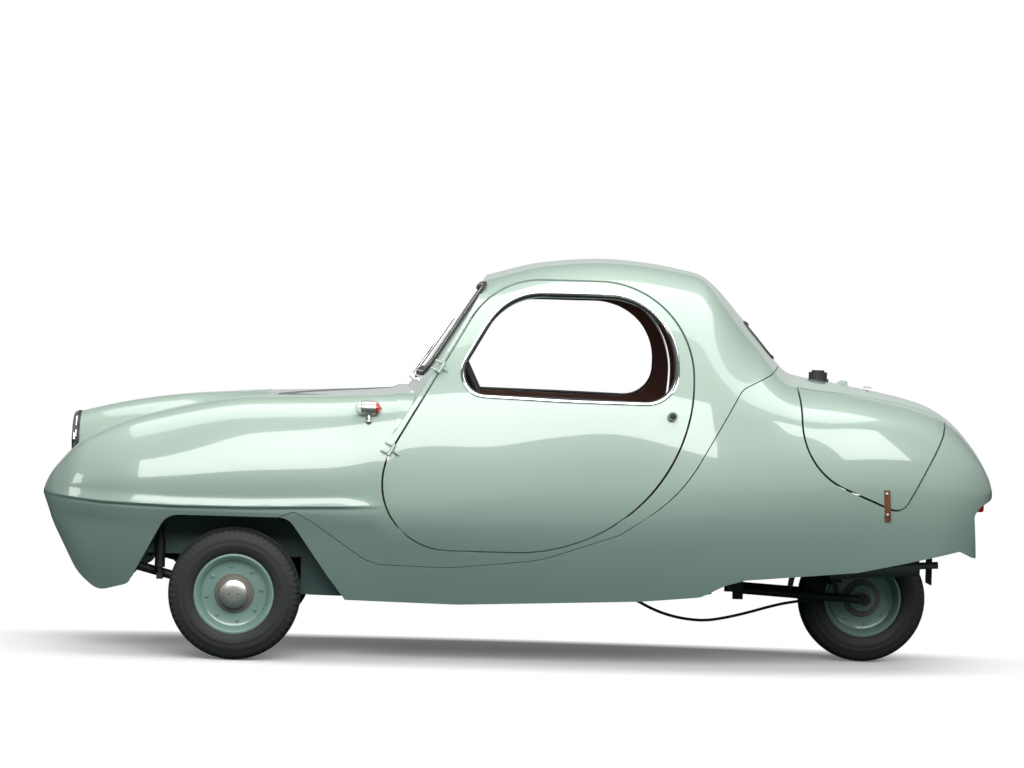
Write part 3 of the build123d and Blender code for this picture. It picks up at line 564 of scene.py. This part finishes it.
def sheet_panel(name, points, normals, tris, thick, finishes, body):
    """Moulded panel: outer skin, inner skin and rim, with its real thickness."""
    used, compact = np.unique(tris, return_inverse=True)
    tris = compact.reshape(-1, 3)
    outer, normal = points[used], normals[used]
    inner = outer - normal * thick
    edges = {}
    for a, b, c in tris:
        for i, j in ((a, b), (b, c), (c, a)):
            if (j, i) in edges:
                del edges[(j, i)]
            else:
                edges[(i, j)] = True
    count = len(outer)
    rim_points, rim_normals, rim_faces = [], [], []
    for i, j in edges:
        base = 2 * count + len(rim_points)
        along = outer[j] - outer[i]
        facing = np.cross(along, normal[i])
        facing = facing / max(np.linalg.norm(facing), 1e-9)
        rim_points += [outer[i], outer[j], inner[j], inner[i]]
        rim_normals += [facing] * 4
        rim_faces.append((base + 1, base, base + 3, base + 2))
    all_points = np.concatenate([outer, inner] + ([np.array(rim_points)] if rim_points else []))
    all_normals = np.concatenate([normal, -normal] + ([np.array(rim_normals)] if rim_points else []))
    faces = [tuple(t) for t in tris] + [tuple(t[::-1] + count) for t in tris] + rim_faces
    middle_x = inner[tris].mean(axis=1)[:, 0]
    in_cabin = (middle_x > cabin_front_x) & (middle_x < bulkhead_x)
    inner_finish = np.where(in_cabin, 1, len(finishes) - 1).tolist()
    face_finish = [0] * len(tris) + inner_finish + [0] * len(rim_faces)
    return finished_mesh(name, all_points, faces, all_normals, finishes, face_finish, body)


skin_points, skin_tris = skin_grid()
glazed_slope = lambda p: np.where((p[:, 0] > -400.5) & (p[:, 0] < 0), np.minimum(
    p[:, 2] - np.maximum(hood_z(p[:, 1]), screen_z(p[:, 0], p[:, 1])), p[:, 2] - 720), -1e3)
skin_points, cabin_tris, front_tris = split(skin_points, skin_tris, glazed_slope)
skin_points, cowl_tris, slope_tris = split(
    skin_points, front_tris, lambda p: screen_z(p[:, 0], p[:, 1]) - hood_z(p[:, 1]))
lowered = np.unique(np.concatenate([cowl_tris, slope_tris]))
skin_points[lowered, 2] = np.maximum(hood_z(skin_points[lowered, 1]),
                                     screen_z(skin_points[lowered, 0], skin_points[lowered, 1]))


def tidy(points, tris):
    """Leaves out triangles that have shrunk to nothing."""
    a, b, c = (points[tris[:, k]] for k in range(3))
    return tris[np.linalg.norm(np.cross(b - a, c - a), axis=1) > 0.02]


slope_tris = tidy(skin_points, slope_tris)
body_tris = tidy(skin_points, np.concatenate([cabin_tris, cowl_tris]))
for cut in (inside(underside_outline), notch_field,
            lambda p, f=inside(arch_outline): np.minimum(f(p), np.abs(p[:, 1]) - 372)):
    skin_points, body_tris, _ = split(skin_points, body_tris, cut)
skin_points, slope_tris, screen_tris = split(skin_points, slope_tris, screen_field(0))

panel_gap = 6
joint_gap = 3
outer_side = lambda p: np.abs(p[:, 1]) - 120
door_space = {grow: inside(door_outline, grow) for grow in (0, panel_gap)}
skin_points, shell_tris, door_tris = split(
    skin_points, body_tris, lambda p: np.minimum(door_space[panel_gap](p), outer_side(p)))
skin_points, _, door_tris = split(skin_points, door_tris, door_space[0])
skin_points, door_tris, _ = split(skin_points, door_tris, inside(window_outline))
skin_points, front_tris, rear_tris = split(skin_points, shell_tris,
                                           inside(rear_shell_outline, joint_gap / 2))
skin_points, _, rear_tris = split(skin_points, rear_tris, inside(rear_shell_outline, -joint_gap / 2))
skin_points, rear_tris, lid_tris = split(skin_points, rear_tris, lid_field(panel_gap))
skin_points, _, lid_tris = split(skin_points, lid_tris, lid_field(0))
skin_points, front_tris, rear_glass_tris = split(skin_points, front_tris, rear_window_field(0))

painted_tris = np.concatenate([front_tris, rear_tris, door_tris, lid_tris])
body_normals = smooth_normals(skin_points, painted_tris)
slope_normals = smooth_normals(skin_points, np.concatenate([slope_tris, screen_tris]))
rear_normals = smooth_normals(skin_points, np.concatenate([front_tris, rear_glass_tris]))
wall, lid_wall = 14, 4
pane_thick, pane_set_in = 4, 3
body_finishes = (paint, lining, shaded_paint)
front_panel = sheet_panel("front_body", skin_points, body_normals, front_tris, wall,
                          body_finishes, "car")
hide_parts("front_shell")
sheet_panel("screen_frame", skin_points, slope_normals, slope_tris, wall, body_finishes, "car")
rear_panel = sheet_panel("rear_body", skin_points, body_normals, rear_tris, wall,
                         body_finishes, "car")
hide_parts("rear_shell")
for name, replaced, normals, tris in (
    ("screen_pane", "windscreen_glass", slope_normals, screen_tris),
    ("rear_pane", "rear_glass", rear_normals, rear_glass_tris),
):
    pane = sheet_panel(name, skin_points - normals * pane_set_in, normals, tris, pane_thick,
                       (glass, glass), "car")
    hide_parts(replaced)
for side, sign in sides:
    on_side = lambda tris: tris[np.sign(skin_points[tris[:, 0], 1]) == sign]
    door = sheet_panel(f"door_skin_{side}", skin_points, body_normals, on_side(door_tris), wall,
                       (paint, lining), f"door_{side}_body")
    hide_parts(f"door_{side}")
    lid = sheet_panel(f"lid_skin_{side}", skin_points, body_normals, on_side(lid_tris), lid_wall,
                      (paint, shaded_paint), f"lid_{side}_body")
    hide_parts(f"lid_{side}")


# ---------------------------------------------------------------- trim round the openings
# Bright strips and rubber seals pressed over the moulded edges of the glazed openings.
def side_y(x, z):
    """Half width of the skin at a place seen from the side."""
    curve = skin_section(x, 300)[0]
    return float(np.interp(z, curve[:, 1], curve[:, 0]))


def roof_x(y, z):
    """X where the cabin's rear slope has a height, at each distance from the middle."""
    stations = np.linspace(500, 830, 120)
    curves = skin_section(stations, 300)
    heights = [np.interp(abs(y), c[170:, 0][::-1], c[170:, 1][::-1]) for c in curves]
    return float(np.interp(-z, -np.array(heights), stations))


def even_loop(line, spacing):
    """The same closed outline with evenly spaced points."""
    line = np.vstack([line, line[:1]])
    along = np.concatenate([[0], np.cumsum(np.linalg.norm(np.diff(line, axis=0), axis=1))])
    count = int(along[-1] / spacing)
    at = np.linspace(0, along[-1], count, endpoint=False)
    return np.stack([np.interp(at, along, line[:, k]) for k in range(line.shape[1])], 1)


def ring_faces(index, closed):
    """Faces between each ring of points and the next."""
    onwards = np.roll(index, -1, axis=0) if closed else index[1:]
    turned = np.roll(index, -1, axis=1), np.roll(onwards, -1, axis=1)
    return [face for rows in zip(index, turned[0], turned[1], onwards) for face in zip(*rows)]


def strip(name, path, outwards, wide, high, finish, body, closed=True, around=10):
    """Rounded strip along a path; outwards points away from the surface it lies on."""
    path = np.asarray(path, float)
    outwards = np.asarray(outwards, float)
    if closed:
        along = np.roll(path, -1, axis=0) - np.roll(path, 1, axis=0)
    else:
        along = np.gradient(path, axis=0)
    along /= np.linalg.norm(along, axis=1)[:, None]
    across = np.cross(along, outwards)
    across /= np.linalg.norm(across, axis=1)[:, None]
    up = np.cross(across, along)
    turn = np.linspace(0, 2 * math.pi, around, endpoint=False)
    rings = (path[:, None] + across[:, None] * (np.cos(turn) * wide / 2)[None, :, None]
             + up[:, None] * (np.sin(turn) * high / 2)[None, :, None])
    index = np.arange(len(path) * around).reshape(-1, around)
    faces = ring_faces(index, closed)
    if not closed:
        faces += [tuple(index[0, ::-1]), tuple(index[-1])]
    return facing_out(finished_mesh(name, rings.reshape(-1, 3), faces, finishes=(finish,), body=body))


def facing_out(obj):
    """Turns the faces of a closed mesh outwards."""
    bm = bmesh.new()
    bm.from_mesh(obj.data)
    bmesh.ops.recalc_face_normals(bm, faces=bm.faces)
    bm.to_mesh(obj.data)
    bm.free()
    obj.data.set_sharp_from_angle(angle=math.radians(38))
    return obj


for side, sign in sides:
    for name, outline, inset, wide, high, finish in (
        ("window_trim", window_outline, 5, 11, 8, chrome),
        ("window_seal", window_outline, -2, 8, 12, rubber),
    ):
        flat = even_loop(rounded_outline(outline), 12)
        centre = flat.mean(axis=0)
        out = (flat - centre) / np.linalg.norm(flat - centre, axis=1)[:, None]
        flat = flat + out * inset
        path = [(x, sign * (side_y(x, z) - (0 if finish is chrome else 7)), z) for x, z in flat]
        outwards = []
        for x, z in flat:
            rise = (side_y(x, z + 4) - side_y(x, z - 4)) / 8
            run = (side_y(x + 4, z) - side_y(x - 4, z)) / 8
            outwards.append((-run, sign, -rise))
        strip(f"{name}_{side}", path, outwards, wide, high, finish, f"door_{side}_body")

slope_out = np.array([-1, 0, screen_slope]) / glass_length
across, up = even_loop(rounded_outline(screen_outline), 14).T
height = screen_foot[1] + up / glass_length
screen_path = np.stack([screen_x(across, height), across, height], 1)
screen_outwards = [slope_out + np.array([0, y / screen_bow, 0]) for y in across]
strip("screen_seal", screen_path + slope_out * 1, screen_outwards, 26, 11, rubber, "car")
strip("screen_trim", screen_path + slope_out * 5, screen_outwards, 6, 5, satin, "car")

rear_loop = even_loop(rounded_outline(rear_window_outline), 12)
rear_path = np.array([(roof_x(y, z), y, z) for y, z in rear_loop])
rear_out = [(0.62, 0.2 * y / 230, 0.78) for _, y, _ in rear_path]
strip("rear_window_seal", rear_path, rear_out, 20, 9, rubber, "car")


# ---------------------------------------------------------------- wheel wells
# Painted liners of the front wheel wells in the body colour darkened as painted shade: a rim under
# the edge of each arch and the wall inboard, which reaches lower beside the footwells than beside the
# nose.
liner_thick = 8
liner_inner_y = 364
liner_below_skin = 7      # keeps the rim's outer edge inside the wall of the body
footwell_front_x, footwell_z = -682, 190
nose_floor_z = 303
arch_curve = even_loop(rounded_outline(arch_outline), 6)
belly_z = np.interp(arch_curve[:, 0], [-1190, -541], [242, 188])
arch_curve = arch_curve[arch_curve[:, 1] > belly_z]
tangent = np.gradient(arch_curve, axis=0)
away_from_wheel = np.stack([-tangent[:, 1], tangent[:, 0]], 1)
away_from_wheel /= np.linalg.norm(away_from_wheel, axis=1)[:, None]
away_from_wheel *= np.sign(((arch_curve - (-870, 250)) * away_from_wheel).sum(axis=1))[:, None]
wall_edge = [(x, z) for x, z in arch_curve
             if z > (nose_floor_z if x < footwell_front_x else footwell_z)]
wall_edge += [(footwell_front_x, footwell_z), (footwell_front_x, nose_floor_z)]
for side, sign in sides:
    rings = []
    for (x, z), (nx, nz) in zip(arch_curve, away_from_wheel):
        outer_y = side_y(x, z) - liner_below_skin
        rings += [(x, sign * liner_inner_y, z), (x, sign * outer_y, z),
                  (x + nx * liner_thick, sign * outer_y, z + nz * liner_thick),
                  (x + nx * liner_thick, sign * liner_inner_y, z + nz * liner_thick)]
    rows = np.arange(len(rings)).reshape(-1, 4)
    faces = ring_faces(rows, False) + [tuple(rows[0]), tuple(rows[-1])]
    rim_liner = facing_out(finished_mesh(f"arch_liner_{side}", rings, faces, finishes=(shaded_paint,)))
    if side == "left":
        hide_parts("wheel_wells")
    count = len(wall_edge)
    plate = [(x, sign * y, z) for y in (liner_inner_y, liner_inner_y + liner_thick)
             for x, z in wall_edge]
    faces = [(k, (k + 1) % count, (k + 1) % count + count, k + count) for k in range(count)]
    faces += [tuple(range(count)), tuple(range(count, 2 * count))]
    facing_out(finished_mesh(f"well_wall_{side}", plate, faces, finishes=(shaded_paint,)))


# ---------------------------------------------------------------- wheels
# Moulded tyres with ribbed tread and shoulder lugs, over pressed rims held by eight studs.
wheel_spots = {
    "front_left": (-875, -525, 200, -1), "front_right": (-875, 525, 200, 1),
    "rear": (1085, 0, 200, -1),
}
half_tread = [
    (40, 113), (41, 118), (46, 122), (50, 132), (52, 146), (52.3, 150), (51.6, 152), (52.3, 160),
    (52, 169), (50.6, 171), (49.5, 178), (47.5, 186), (44.5, 192), (40, 195.4), (33, 197.6),
    (31, 197.8), (30, 194), (26, 194), (25, 198.8), (14, 199.6), (13, 195), (9, 195), (8, 200),
]
lug_rows = range(11, 15)
lugs = 64


def turned_mesh(name, profile, centre, finish, body, segments=96, lugged=None, axis="Y"):
    """Closed ring or disc: (along, radius) points turned about an axle."""
    turn = np.linspace(0, 2 * math.pi, segments, endpoint=False)
    profile = np.array(profile, float)
    radius = np.repeat(profile[:, 1:2], segments, axis=1)
    if lugged is not None:
        radius[lugged] -= 3.2 * (np.arange(segments) % 4 < 2)
    along = np.repeat(profile[:, :1], segments, axis=1)
    round_a, round_b = radius * np.cos(turn), radius * np.sin(turn)
    order = {"Y": (round_a, along, round_b), "X": (along, round_a, round_b),
             "Z": (round_a, round_b, along)}
    points = np.stack(order[axis], -1) + np.array(centre)
    faces = ring_faces(np.arange(len(profile) * segments).reshape(-1, segments), profile[0, 1] > 0)
    obj = finished_mesh(name, points.reshape(-1, 3), faces, finishes=(finish,), body=body)
    merge_points(obj.data, 1e-6)
    return facing_out(obj)


def repeat_group():
    """Node group that sets copies of an object round a circle."""
    group = bpy.data.node_groups.new("round_a_circle", "GeometryNodeTree")
    sockets = {}
    for label, kind in (("Copy", "NodeSocketObject"), ("Count", "NodeSocketInt"),
                        ("Radius", "NodeSocketFloat"), ("Finish", "NodeSocketMaterial")):
        sockets[label] = group.interface.new_socket(label, in_out="INPUT", socket_type=kind).identifier
    group.interface.new_socket("Geometry", in_out="OUTPUT", socket_type="NodeSocketGeometry")
    source = group.nodes.new("NodeGroupInput")
    circle = group.nodes.new("GeometryNodeMeshCircle")
    info = group.nodes.new("GeometryNodeObjectInfo")
    copies = group.nodes.new("GeometryNodeInstanceOnPoints")
    real = group.nodes.new("GeometryNodeRealizeInstances")
    painted = group.nodes.new("GeometryNodeSetMaterial")
    sink = group.nodes.new("NodeGroupOutput")
    for a, b in (
        (source.outputs["Count"], circle.inputs["Vertices"]),
        (source.outputs["Radius"], circle.inputs["Radius"]),
        (source.outputs["Copy"], info.inputs["Object"]), (circle.outputs[0], copies.inputs["Points"]),
        (info.outputs["Geometry"], copies.inputs["Instance"]), (copies.outputs[0], real.inputs[0]),
        (real.outputs[0], painted.inputs["Geometry"]),
        (source.outputs["Finish"], painted.inputs["Material"]), (painted.outputs[0], sink.inputs[0]),
    ):
        group.links.new(a, b)
    return group, sockets


circle_group, circle_sockets = repeat_group()


def round_a_circle(name, copy, count, radius, turn, finish, body):
    """Plain mesh of copies of an object round a circle, turned into place; sizes in millimetres."""
    holder = linked(name, bpy.data.meshes.new(name))
    modifier = holder.modifiers.new("copies", "NODES")
    modifier.node_group = circle_group
    values = {"Copy": copy, "Count": count, "Radius": radius * MM, "Finish": finish.material}
    for label, value in values.items():
        modifier[circle_sockets[label]] = value
    seen = holder.evaluated_get(bpy.context.evaluated_depsgraph_get())
    mesh = bpy.data.meshes.new_from_object(seen)
    mesh.transform(turn)
    holder.modifiers.clear()
    holder.data = mesh
    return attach(holder, body)


def stud_head():
    """Domed hexagon nut standing on the XY plane."""
    bm = bmesh.new()
    rings = ((5.6, 0, 6), (5.6, 3.6, 6), (4.6, 4.4, 6), (2.6, 4.5, 6), (2.4, 7, 6), (0.6, 7.8, 6))
    sixth = math.pi / 3
    layers = [[bm.verts.new((r * MM * math.cos(k * sixth), r * MM * math.sin(k * sixth), z * MM))
               for k in range(n)] for r, z, n in rings]
    bm.faces.new(layers[0][::-1])
    bm.faces.new(layers[-1])
    for low, high in zip(layers, layers[1:]):
        for k in range(6):
            bm.faces.new((low[k], low[(k + 1) % 6], high[(k + 1) % 6], high[k]))
    mesh = bpy.data.meshes.new("stud")
    bm.to_mesh(mesh)
    bm.free()
    return bpy.data.objects.new("stud", mesh)


# Distance outwards from the middle of the tyre, and radius.
rim_profile = [
    (46, 115), (45, 120.5), (42.5, 121.5), (40.5, 118), (40, 113), (-40, 113), (-40.5, 118),
    (-42.5, 121.5), (-45, 120.5), (-46, 115), (-40, 109), (-24, 105), (0, 101), (5, 96), (6, 62),
    (4, 48), (-36, 38), (-38, 34), (-38, 15), (36, 15), (36, 40), (20, 44), (15, 50), (13.5, 62),
    (13.5, 92), (16, 98), (24, 101), (34, 105), (41, 109),
]
studs, stud_circle, stud_face = 8, 82, 13
nuts, nut_circle, nut_face = 5, 24, 24
hub_ring_profile = [(14, 42), (14, 59), (17, 59), (19, 57), (19.5, 50), (21, 42)]
cap_profile = [(36, 0), (36, 43), (44, 43), (48, 41.5), (50.5, 36), (52, 20), (52.3, 0)]
stud = stud_head()
for place, (x, y, z, out) in wheel_spots.items():
    wheel = f"wheel_{place}"
    ring = half_tread + [(-a, r) for a, r in half_tread[::-1]]
    last = len(ring) - 1
    rows_with_lugs = [*lug_rows, *(last - k for k in lug_rows)]
    tyre = turned_mesh(f"tread_{place}", ring, (x, y, z), tyre_rubber, wheel, lugs * 4, rows_with_lugs)
    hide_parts(f"tyre_{place}")
    rim = turned_mesh(f"pressed_rim_{place}", [(out * a, r) for a, r in rim_profile], (x, y, z),
                      rim_paint, wheel, 96)
    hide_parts(f"rim_{place}")
    facing = lambda depth: Matrix.Translation(
        (x * MM, (y + out * depth) * MM, z * MM)) @ Matrix.Rotation(-out * math.pi / 2, 4, "X")
    round_a_circle(f"studs_{place}", stud, studs, stud_circle,
                   facing(stud_face) @ Matrix.Rotation(math.radians(8), 4, "Z"), rim_paint, wheel)
    turned_mesh(f"hub_ring_{place}", [(out * a, r) for a, r in hub_ring_profile], (x, y, z), hub_metal,
                wheel, 72)
    if place == "rear":
        round_a_circle(f"hub_nuts_{place}", stud, nuts, nut_circle, facing(nut_face), satin, wheel)
        continue
    cap = turned_mesh(f"domed_cap_{place}", [(out * a, r) for a, r in cap_profile], (x, y, z), satin,
                      wheel, 72)
    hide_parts(f"hub_cap_{place}")
    for across in (-14, 14):
        turned_mesh(f"cap_hole_{place}_{'a' if across < 0 else 'b'}",
                    [(out * 51.2, 0), (out * 51.2, 2.4), (out * 52.3, 2.4), (out * 52.3, 0)],
                    (x + across, y, z), rubber, wheel, 16)


# ---------------------------------------------------------------- lamps, straps and cap
# Plated lamp on each wing: a banded barrel on a stalk, clear lens in front and red point behind.
barrel_profile = [
    (-24, 0), (-24, 17), (-22, 20), (-14, 21.5), (-13, 23), (-10, 23), (-9, 21.5), (0, 22), (8, 21.5),
    (9, 23), (12, 23), (13, 21), (20, 20), (21, 0),
]
front_lens_profile = [(-42, 0), (-41, 8), (-37, 14), (-30, 18), (-24, 18.5), (-24, 0)]
rear_lens_profile = [(21, 0), (21, 18), (27, 18), (29, 16), (31, 10), (38, 3), (39, 0)]
stalk_profile = [(-48, 0), (-48, 8), (-43, 11), (-37, 11), (-33, 8), (-29, 6), (-10, 6), (-10, 0)]
lamp_x, lamp_y, lamp_z = -483, 592, 772
for side, sign in sides:
    spot = (lamp_x, sign * lamp_y, lamp_z)
    for label, profile, finish, replaced in (
        ("barrel", barrel_profile, satin, "bodies"),
        ("clear", front_lens_profile, lamp_glass, "front_lenses"),
        ("red", rear_lens_profile, red_glass, "rear_lenses"),
    ):
        piece = turned_mesh(f"wing_lamp_{label}_{side}", profile, spot, finish, "car", 40, axis="X")
        if side == "left":
            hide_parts(f"wing_lamp_{replaced}")
    turned_mesh(f"wing_lamp_stalk_{side}", stalk_profile, spot, satin, "car", 24, axis="Z")

# Round black knob of each door's latch, on the plated foot of its spindle.
knob_profile = [(0, 0), (0, 10), (4, 10), (5, 13), (17, 13.5), (21, 12.5), (22.5, 9), (22.5, 0)]
knob_x, knob_z = 428, 774
for side, sign in sides:
    turned_mesh(f"door_knob_{side}", [(sign * out, radius) for out, radius in knob_profile],
                (knob_x, sign * side_y(knob_x, knob_z), knob_z), rubber, f"door_{side}_body", 32)

# Brown leather strap with two studs over the lower edge of each rear lid.
strap_x, strap_top, strap_foot = 1092, 566, 470
strap_lean = 0.08
for side, sign in sides:
    heights = np.linspace(strap_top, strap_foot, 14)
    places = strap_x + (strap_top - heights) * strap_lean
    path = [(x, sign * (side_y(x, z) + 2.2), z) for x, z in zip(places, heights)]
    strap = strip(f"strap_{side}", path, [(0, sign, 0)] * len(path), 21, 5, leather, f"lid_{side}_body",
                  closed=False)
    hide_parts(f"lid_strap_{side}")
    for label, z in (("upper", 554), ("lower", 490)):
        turned_mesh(f"strap_stud_{label}_{side}",
                    [(0, 0), (0, 6), (sign * 5, 6), (sign * 8, 4), (sign * 9, 0)],
                    (strap_x + (strap_top - z) * strap_lean, sign * side_y(strap_x, z), z), satin,
                    f"lid_{side}_body", 20)


# ---------------------------------------------------------------- seats
# Two bucket seats: a cushion and a back of padding sewn in channels.
pad_fill, pad_swell, channel = 0.8, 0.012, 0.07
fill_room = 0.012         # taken off a solid's size, which the filling then swells out again
cover_grain = 0.009
seam_depth, seam_width = 0.007, 0.008
within = 0.0005           # margin to the box of the solid


def coordinates(vertices, kind="co"):
    """Places or normals of a mesh's vertices, one row each."""
    values = np.empty(len(vertices) * 3)
    vertices.foreach_get(kind, values)
    return values.reshape(-1, 3)


def stuffed(name, node_name, face):
    """Padded copy of a soft node: swollen as cloth under pressure, then drawn in at sewn channels."""
    low, high = (np.array(corner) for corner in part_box(node_name))
    middle = (low + high) / 2
    source = nodes[node_name]
    mesh = source.data.copy()
    cover = linked(name, mesh)
    place = coordinates(mesh.vertices)
    place = middle + (place - middle) * (1 - fill_room / (high - low))
    mesh.vertices.foreach_set("co", place.ravel())
    merge_points(mesh, 1e-5)
    remesh = cover.modifiers.new("even", "REMESH")
    remesh.mode = "VOXEL"
    remesh.voxel_size = cover_grain
    even = bpy.data.meshes.new_from_object(cover.evaluated_get(bpy.context.evaluated_depsgraph_get()))
    cover.modifiers.clear()
    cover.data = even
    rest = coordinates(even.vertices)
    moved = rest.copy()
    cloth = cover.modifiers.new("stuffing", "CLOTH")
    cloth.settings.use_pressure = True
    cloth.settings.uniform_pressure_force = 4
    cloth.settings.effector_weights.gravity = 0
    for step in range(1, 21):
        scene.frame_set(step)
    swollen = cover.evaluated_get(bpy.context.evaluated_depsgraph_get()).to_mesh()
    moved = coordinates(swollen.vertices)
    cover.modifiers.clear()
    scene.frame_set(1)
    shift = moved - rest
    size = np.linalg.norm(shift, axis=1)
    moved = rest + shift * np.minimum(1, pad_swell / np.maximum(size, 1e-9))[:, None]
    even.vertices.foreach_set("co", moved.ravel())
    normals = coordinates(even.vertex_normals, "vector")
    across = moved[:, 1] - middle[1]
    drawn = np.zeros(len(moved))
    for seam in np.arange(-2, 3) * channel:
        drawn += seam_depth * np.exp(-((across - seam) / seam_width) ** 2)
    drawn *= np.clip(normals @ np.array(face), 0, 1)
    moved = moved - normals * drawn[:, None]
    moved = np.clip(moved, low + within, high - within)
    even.vertices.foreach_set("co", moved.ravel())
    even.materials.clear()
    even.materials.append(seat_cover.material)
    even.shade_smooth()
    soft = cover.modifiers.new("soft", "SUBSURF")
    soft.levels = soft.render_levels = 1
    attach(cover, "car")
    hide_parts(node_name)


for seat in ("driver", "passenger"):
    stuffed(f"{seat}_seat_pad", f"{seat}_cushion", (0, 0, 1))
    stuffed(f"{seat}_back_pad", f"{seat}_back", (-0.98, 0, 0.17))


# ---------------------------------------------------------------- brake cable
# Black sheathed cable that hangs between the sill and the rear brake.
cable_points = [
    (0.306, -0.200, 0.204), (0.352, -0.201, 0.192), (0.400, -0.200, 0.166), (0.452, -0.199, 0.146),
    (0.512, -0.197, 0.133), (0.578, -0.194, 0.129), (0.645, -0.190, 0.141), (0.712, -0.184, 0.158),
    (0.780, -0.172, 0.178), (0.850, -0.150, 0.193), (0.920, -0.122, 0.199),
]
cable_curve = bpy.data.curves.new("brake_cable_sheath", "CURVE")
cable_curve.dimensions = "3D"
cable_curve.bevel_depth = 0.0045
cable_curve.bevel_resolution = 4
cable_curve.use_fill_caps = True
route = cable_curve.splines.new("NURBS")
route.points.add(len(cable_points) - 1)
for point, place in zip(route.points, cable_points):
    point.co = (*place, 1)
route.order_u = 3
route.use_endpoint_u = True
route.resolution_u = 8
cable_curve.materials.append(rubber.material)
cable = linked("brake_cable_sheath", cable_curve)
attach(cable, "car")
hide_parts("brake_cable")


# ---------------------------------------------------------------- stage, camera and light
# A pale floor that fades to white round the car's shadow, soft boxes above, in front and behind.
def by_camera_ray(tree, hidden, seen, output):
    """Shows one shader to the camera, and the other to all other rays."""
    rays = tree.nodes.new("ShaderNodeLightPath")
    mix = tree.nodes.new("ShaderNodeMixShader")
    for a, b in ((rays.outputs["Is Camera Ray"], mix.inputs[0]), (hidden.outputs[0], mix.inputs[1]),
                 (seen.outputs[0], mix.inputs[2]), (mix.outputs[0], output.inputs["Surface"])):
        tree.links.new(a, b)


backdrop = Finish("pale floor", (0.85, 0.85, 0.84), 0.75)
glow = backdrop.tree.nodes.new("ShaderNodeEmission")
glow.inputs["Color"].default_value = (1, 1, 1, 1)
blend_in = backdrop.tree.nodes.new("ShaderNodeMixShader")
along_car = backdrop.place("X") * (1 / 1.62)
across_car = (backdrop.place("Y") + 0.18) * (1 / 0.54)
away = along_car * along_car + across_car * across_car * across_car * across_car
share = away.above(0.95, 0.9) * 0.9 + 0.10
for index, out in enumerate((share.out, backdrop.shader.outputs[0], glow.outputs[0])):
    backdrop.tree.links.new(out, blend_in.inputs[index])
shade = backdrop.tree.nodes.new("ShaderNodeBsdfDiffuse")
shade.inputs["Color"].default_value = (0.055, 0.085, 0.085, 1)
by_camera_ray(backdrop.tree, shade, blend_in, backdrop.tree.nodes["Material Output"])
bpy.ops.mesh.primitive_plane_add(size=60, location=(0, 0, -0.0005))
floor = bpy.context.object
floor.name = "floor"
floor.data.materials.append(backdrop.material)
# Name, place, width and height, watts, turn.
for name, place, size, power, turn in (
    ("overhead", (0.2, -0.4, 3.6), (5.2, 2.6), 150, (0, 0, 0)),
    ("front_softbox", (-0.2, -5.0, 3.0), (4.8, 2.6), 285, (math.radians(52), 0, 0)),
    ("tail_softbox", (3.6, -2.6, 2.4), (1.4, 1.6), 50, (math.radians(58), 0, math.radians(55))),
    ("nose_softbox", (-4.4, -2.0, 1.3), (1.6, 1.2), 35, (math.radians(88), 0, math.radians(-66))),
    ("back_softbox", (0, 5.0, 2.0), (6.5, 2.2), 19, (math.radians(-80), 0, 0)),
):
    lamp = bpy.data.lights.new(name, "AREA")
    lamp.shape = "RECTANGLE"
    lamp.size, lamp.size_y = size
    lamp.energy = power
    holder = linked(name, lamp)
    holder.location = place
    holder.rotation_euler = turn

world = scene.world or bpy.data.worlds.new("surroundings")
scene.world = world
world.use_nodes = True
sky = world.node_tree
dim = sky.nodes["Background"]
dim.inputs["Color"].default_value = (0.80, 0.88, 0.90, 1)
dim.inputs["Strength"].default_value = 0.22
white = sky.nodes.new("ShaderNodeBackground")
white.inputs["Color"].default_value = (1, 1, 1, 1)
white.inputs["Strength"].default_value = 1.0
by_camera_ray(sky, dim, white, sky.nodes["World Output"])

camera_data = bpy.data.cameras.new("main")
camera_data.sensor_width = 36
camera_data.lens = 121.8
camera_data.shift_x, camera_data.shift_y = 0.080, -0.0652
camera_data.clip_end = 200
camera = linked("main_camera", camera_data)
tilt = math.radians(1.68)
camera.matrix_world = Matrix((
    (math.cos(tilt), -math.sin(tilt), 0, -0.308),
    (0, 0, -1, -11.0),
    (math.sin(tilt), math.cos(tilt), 0, 1.05),
    (0, 0, 0, 1),
))
scene.camera = camera
scene.render.resolution_x, scene.render.resolution_y = 1024, 768
scene.view_settings.view_transform = "Standard"
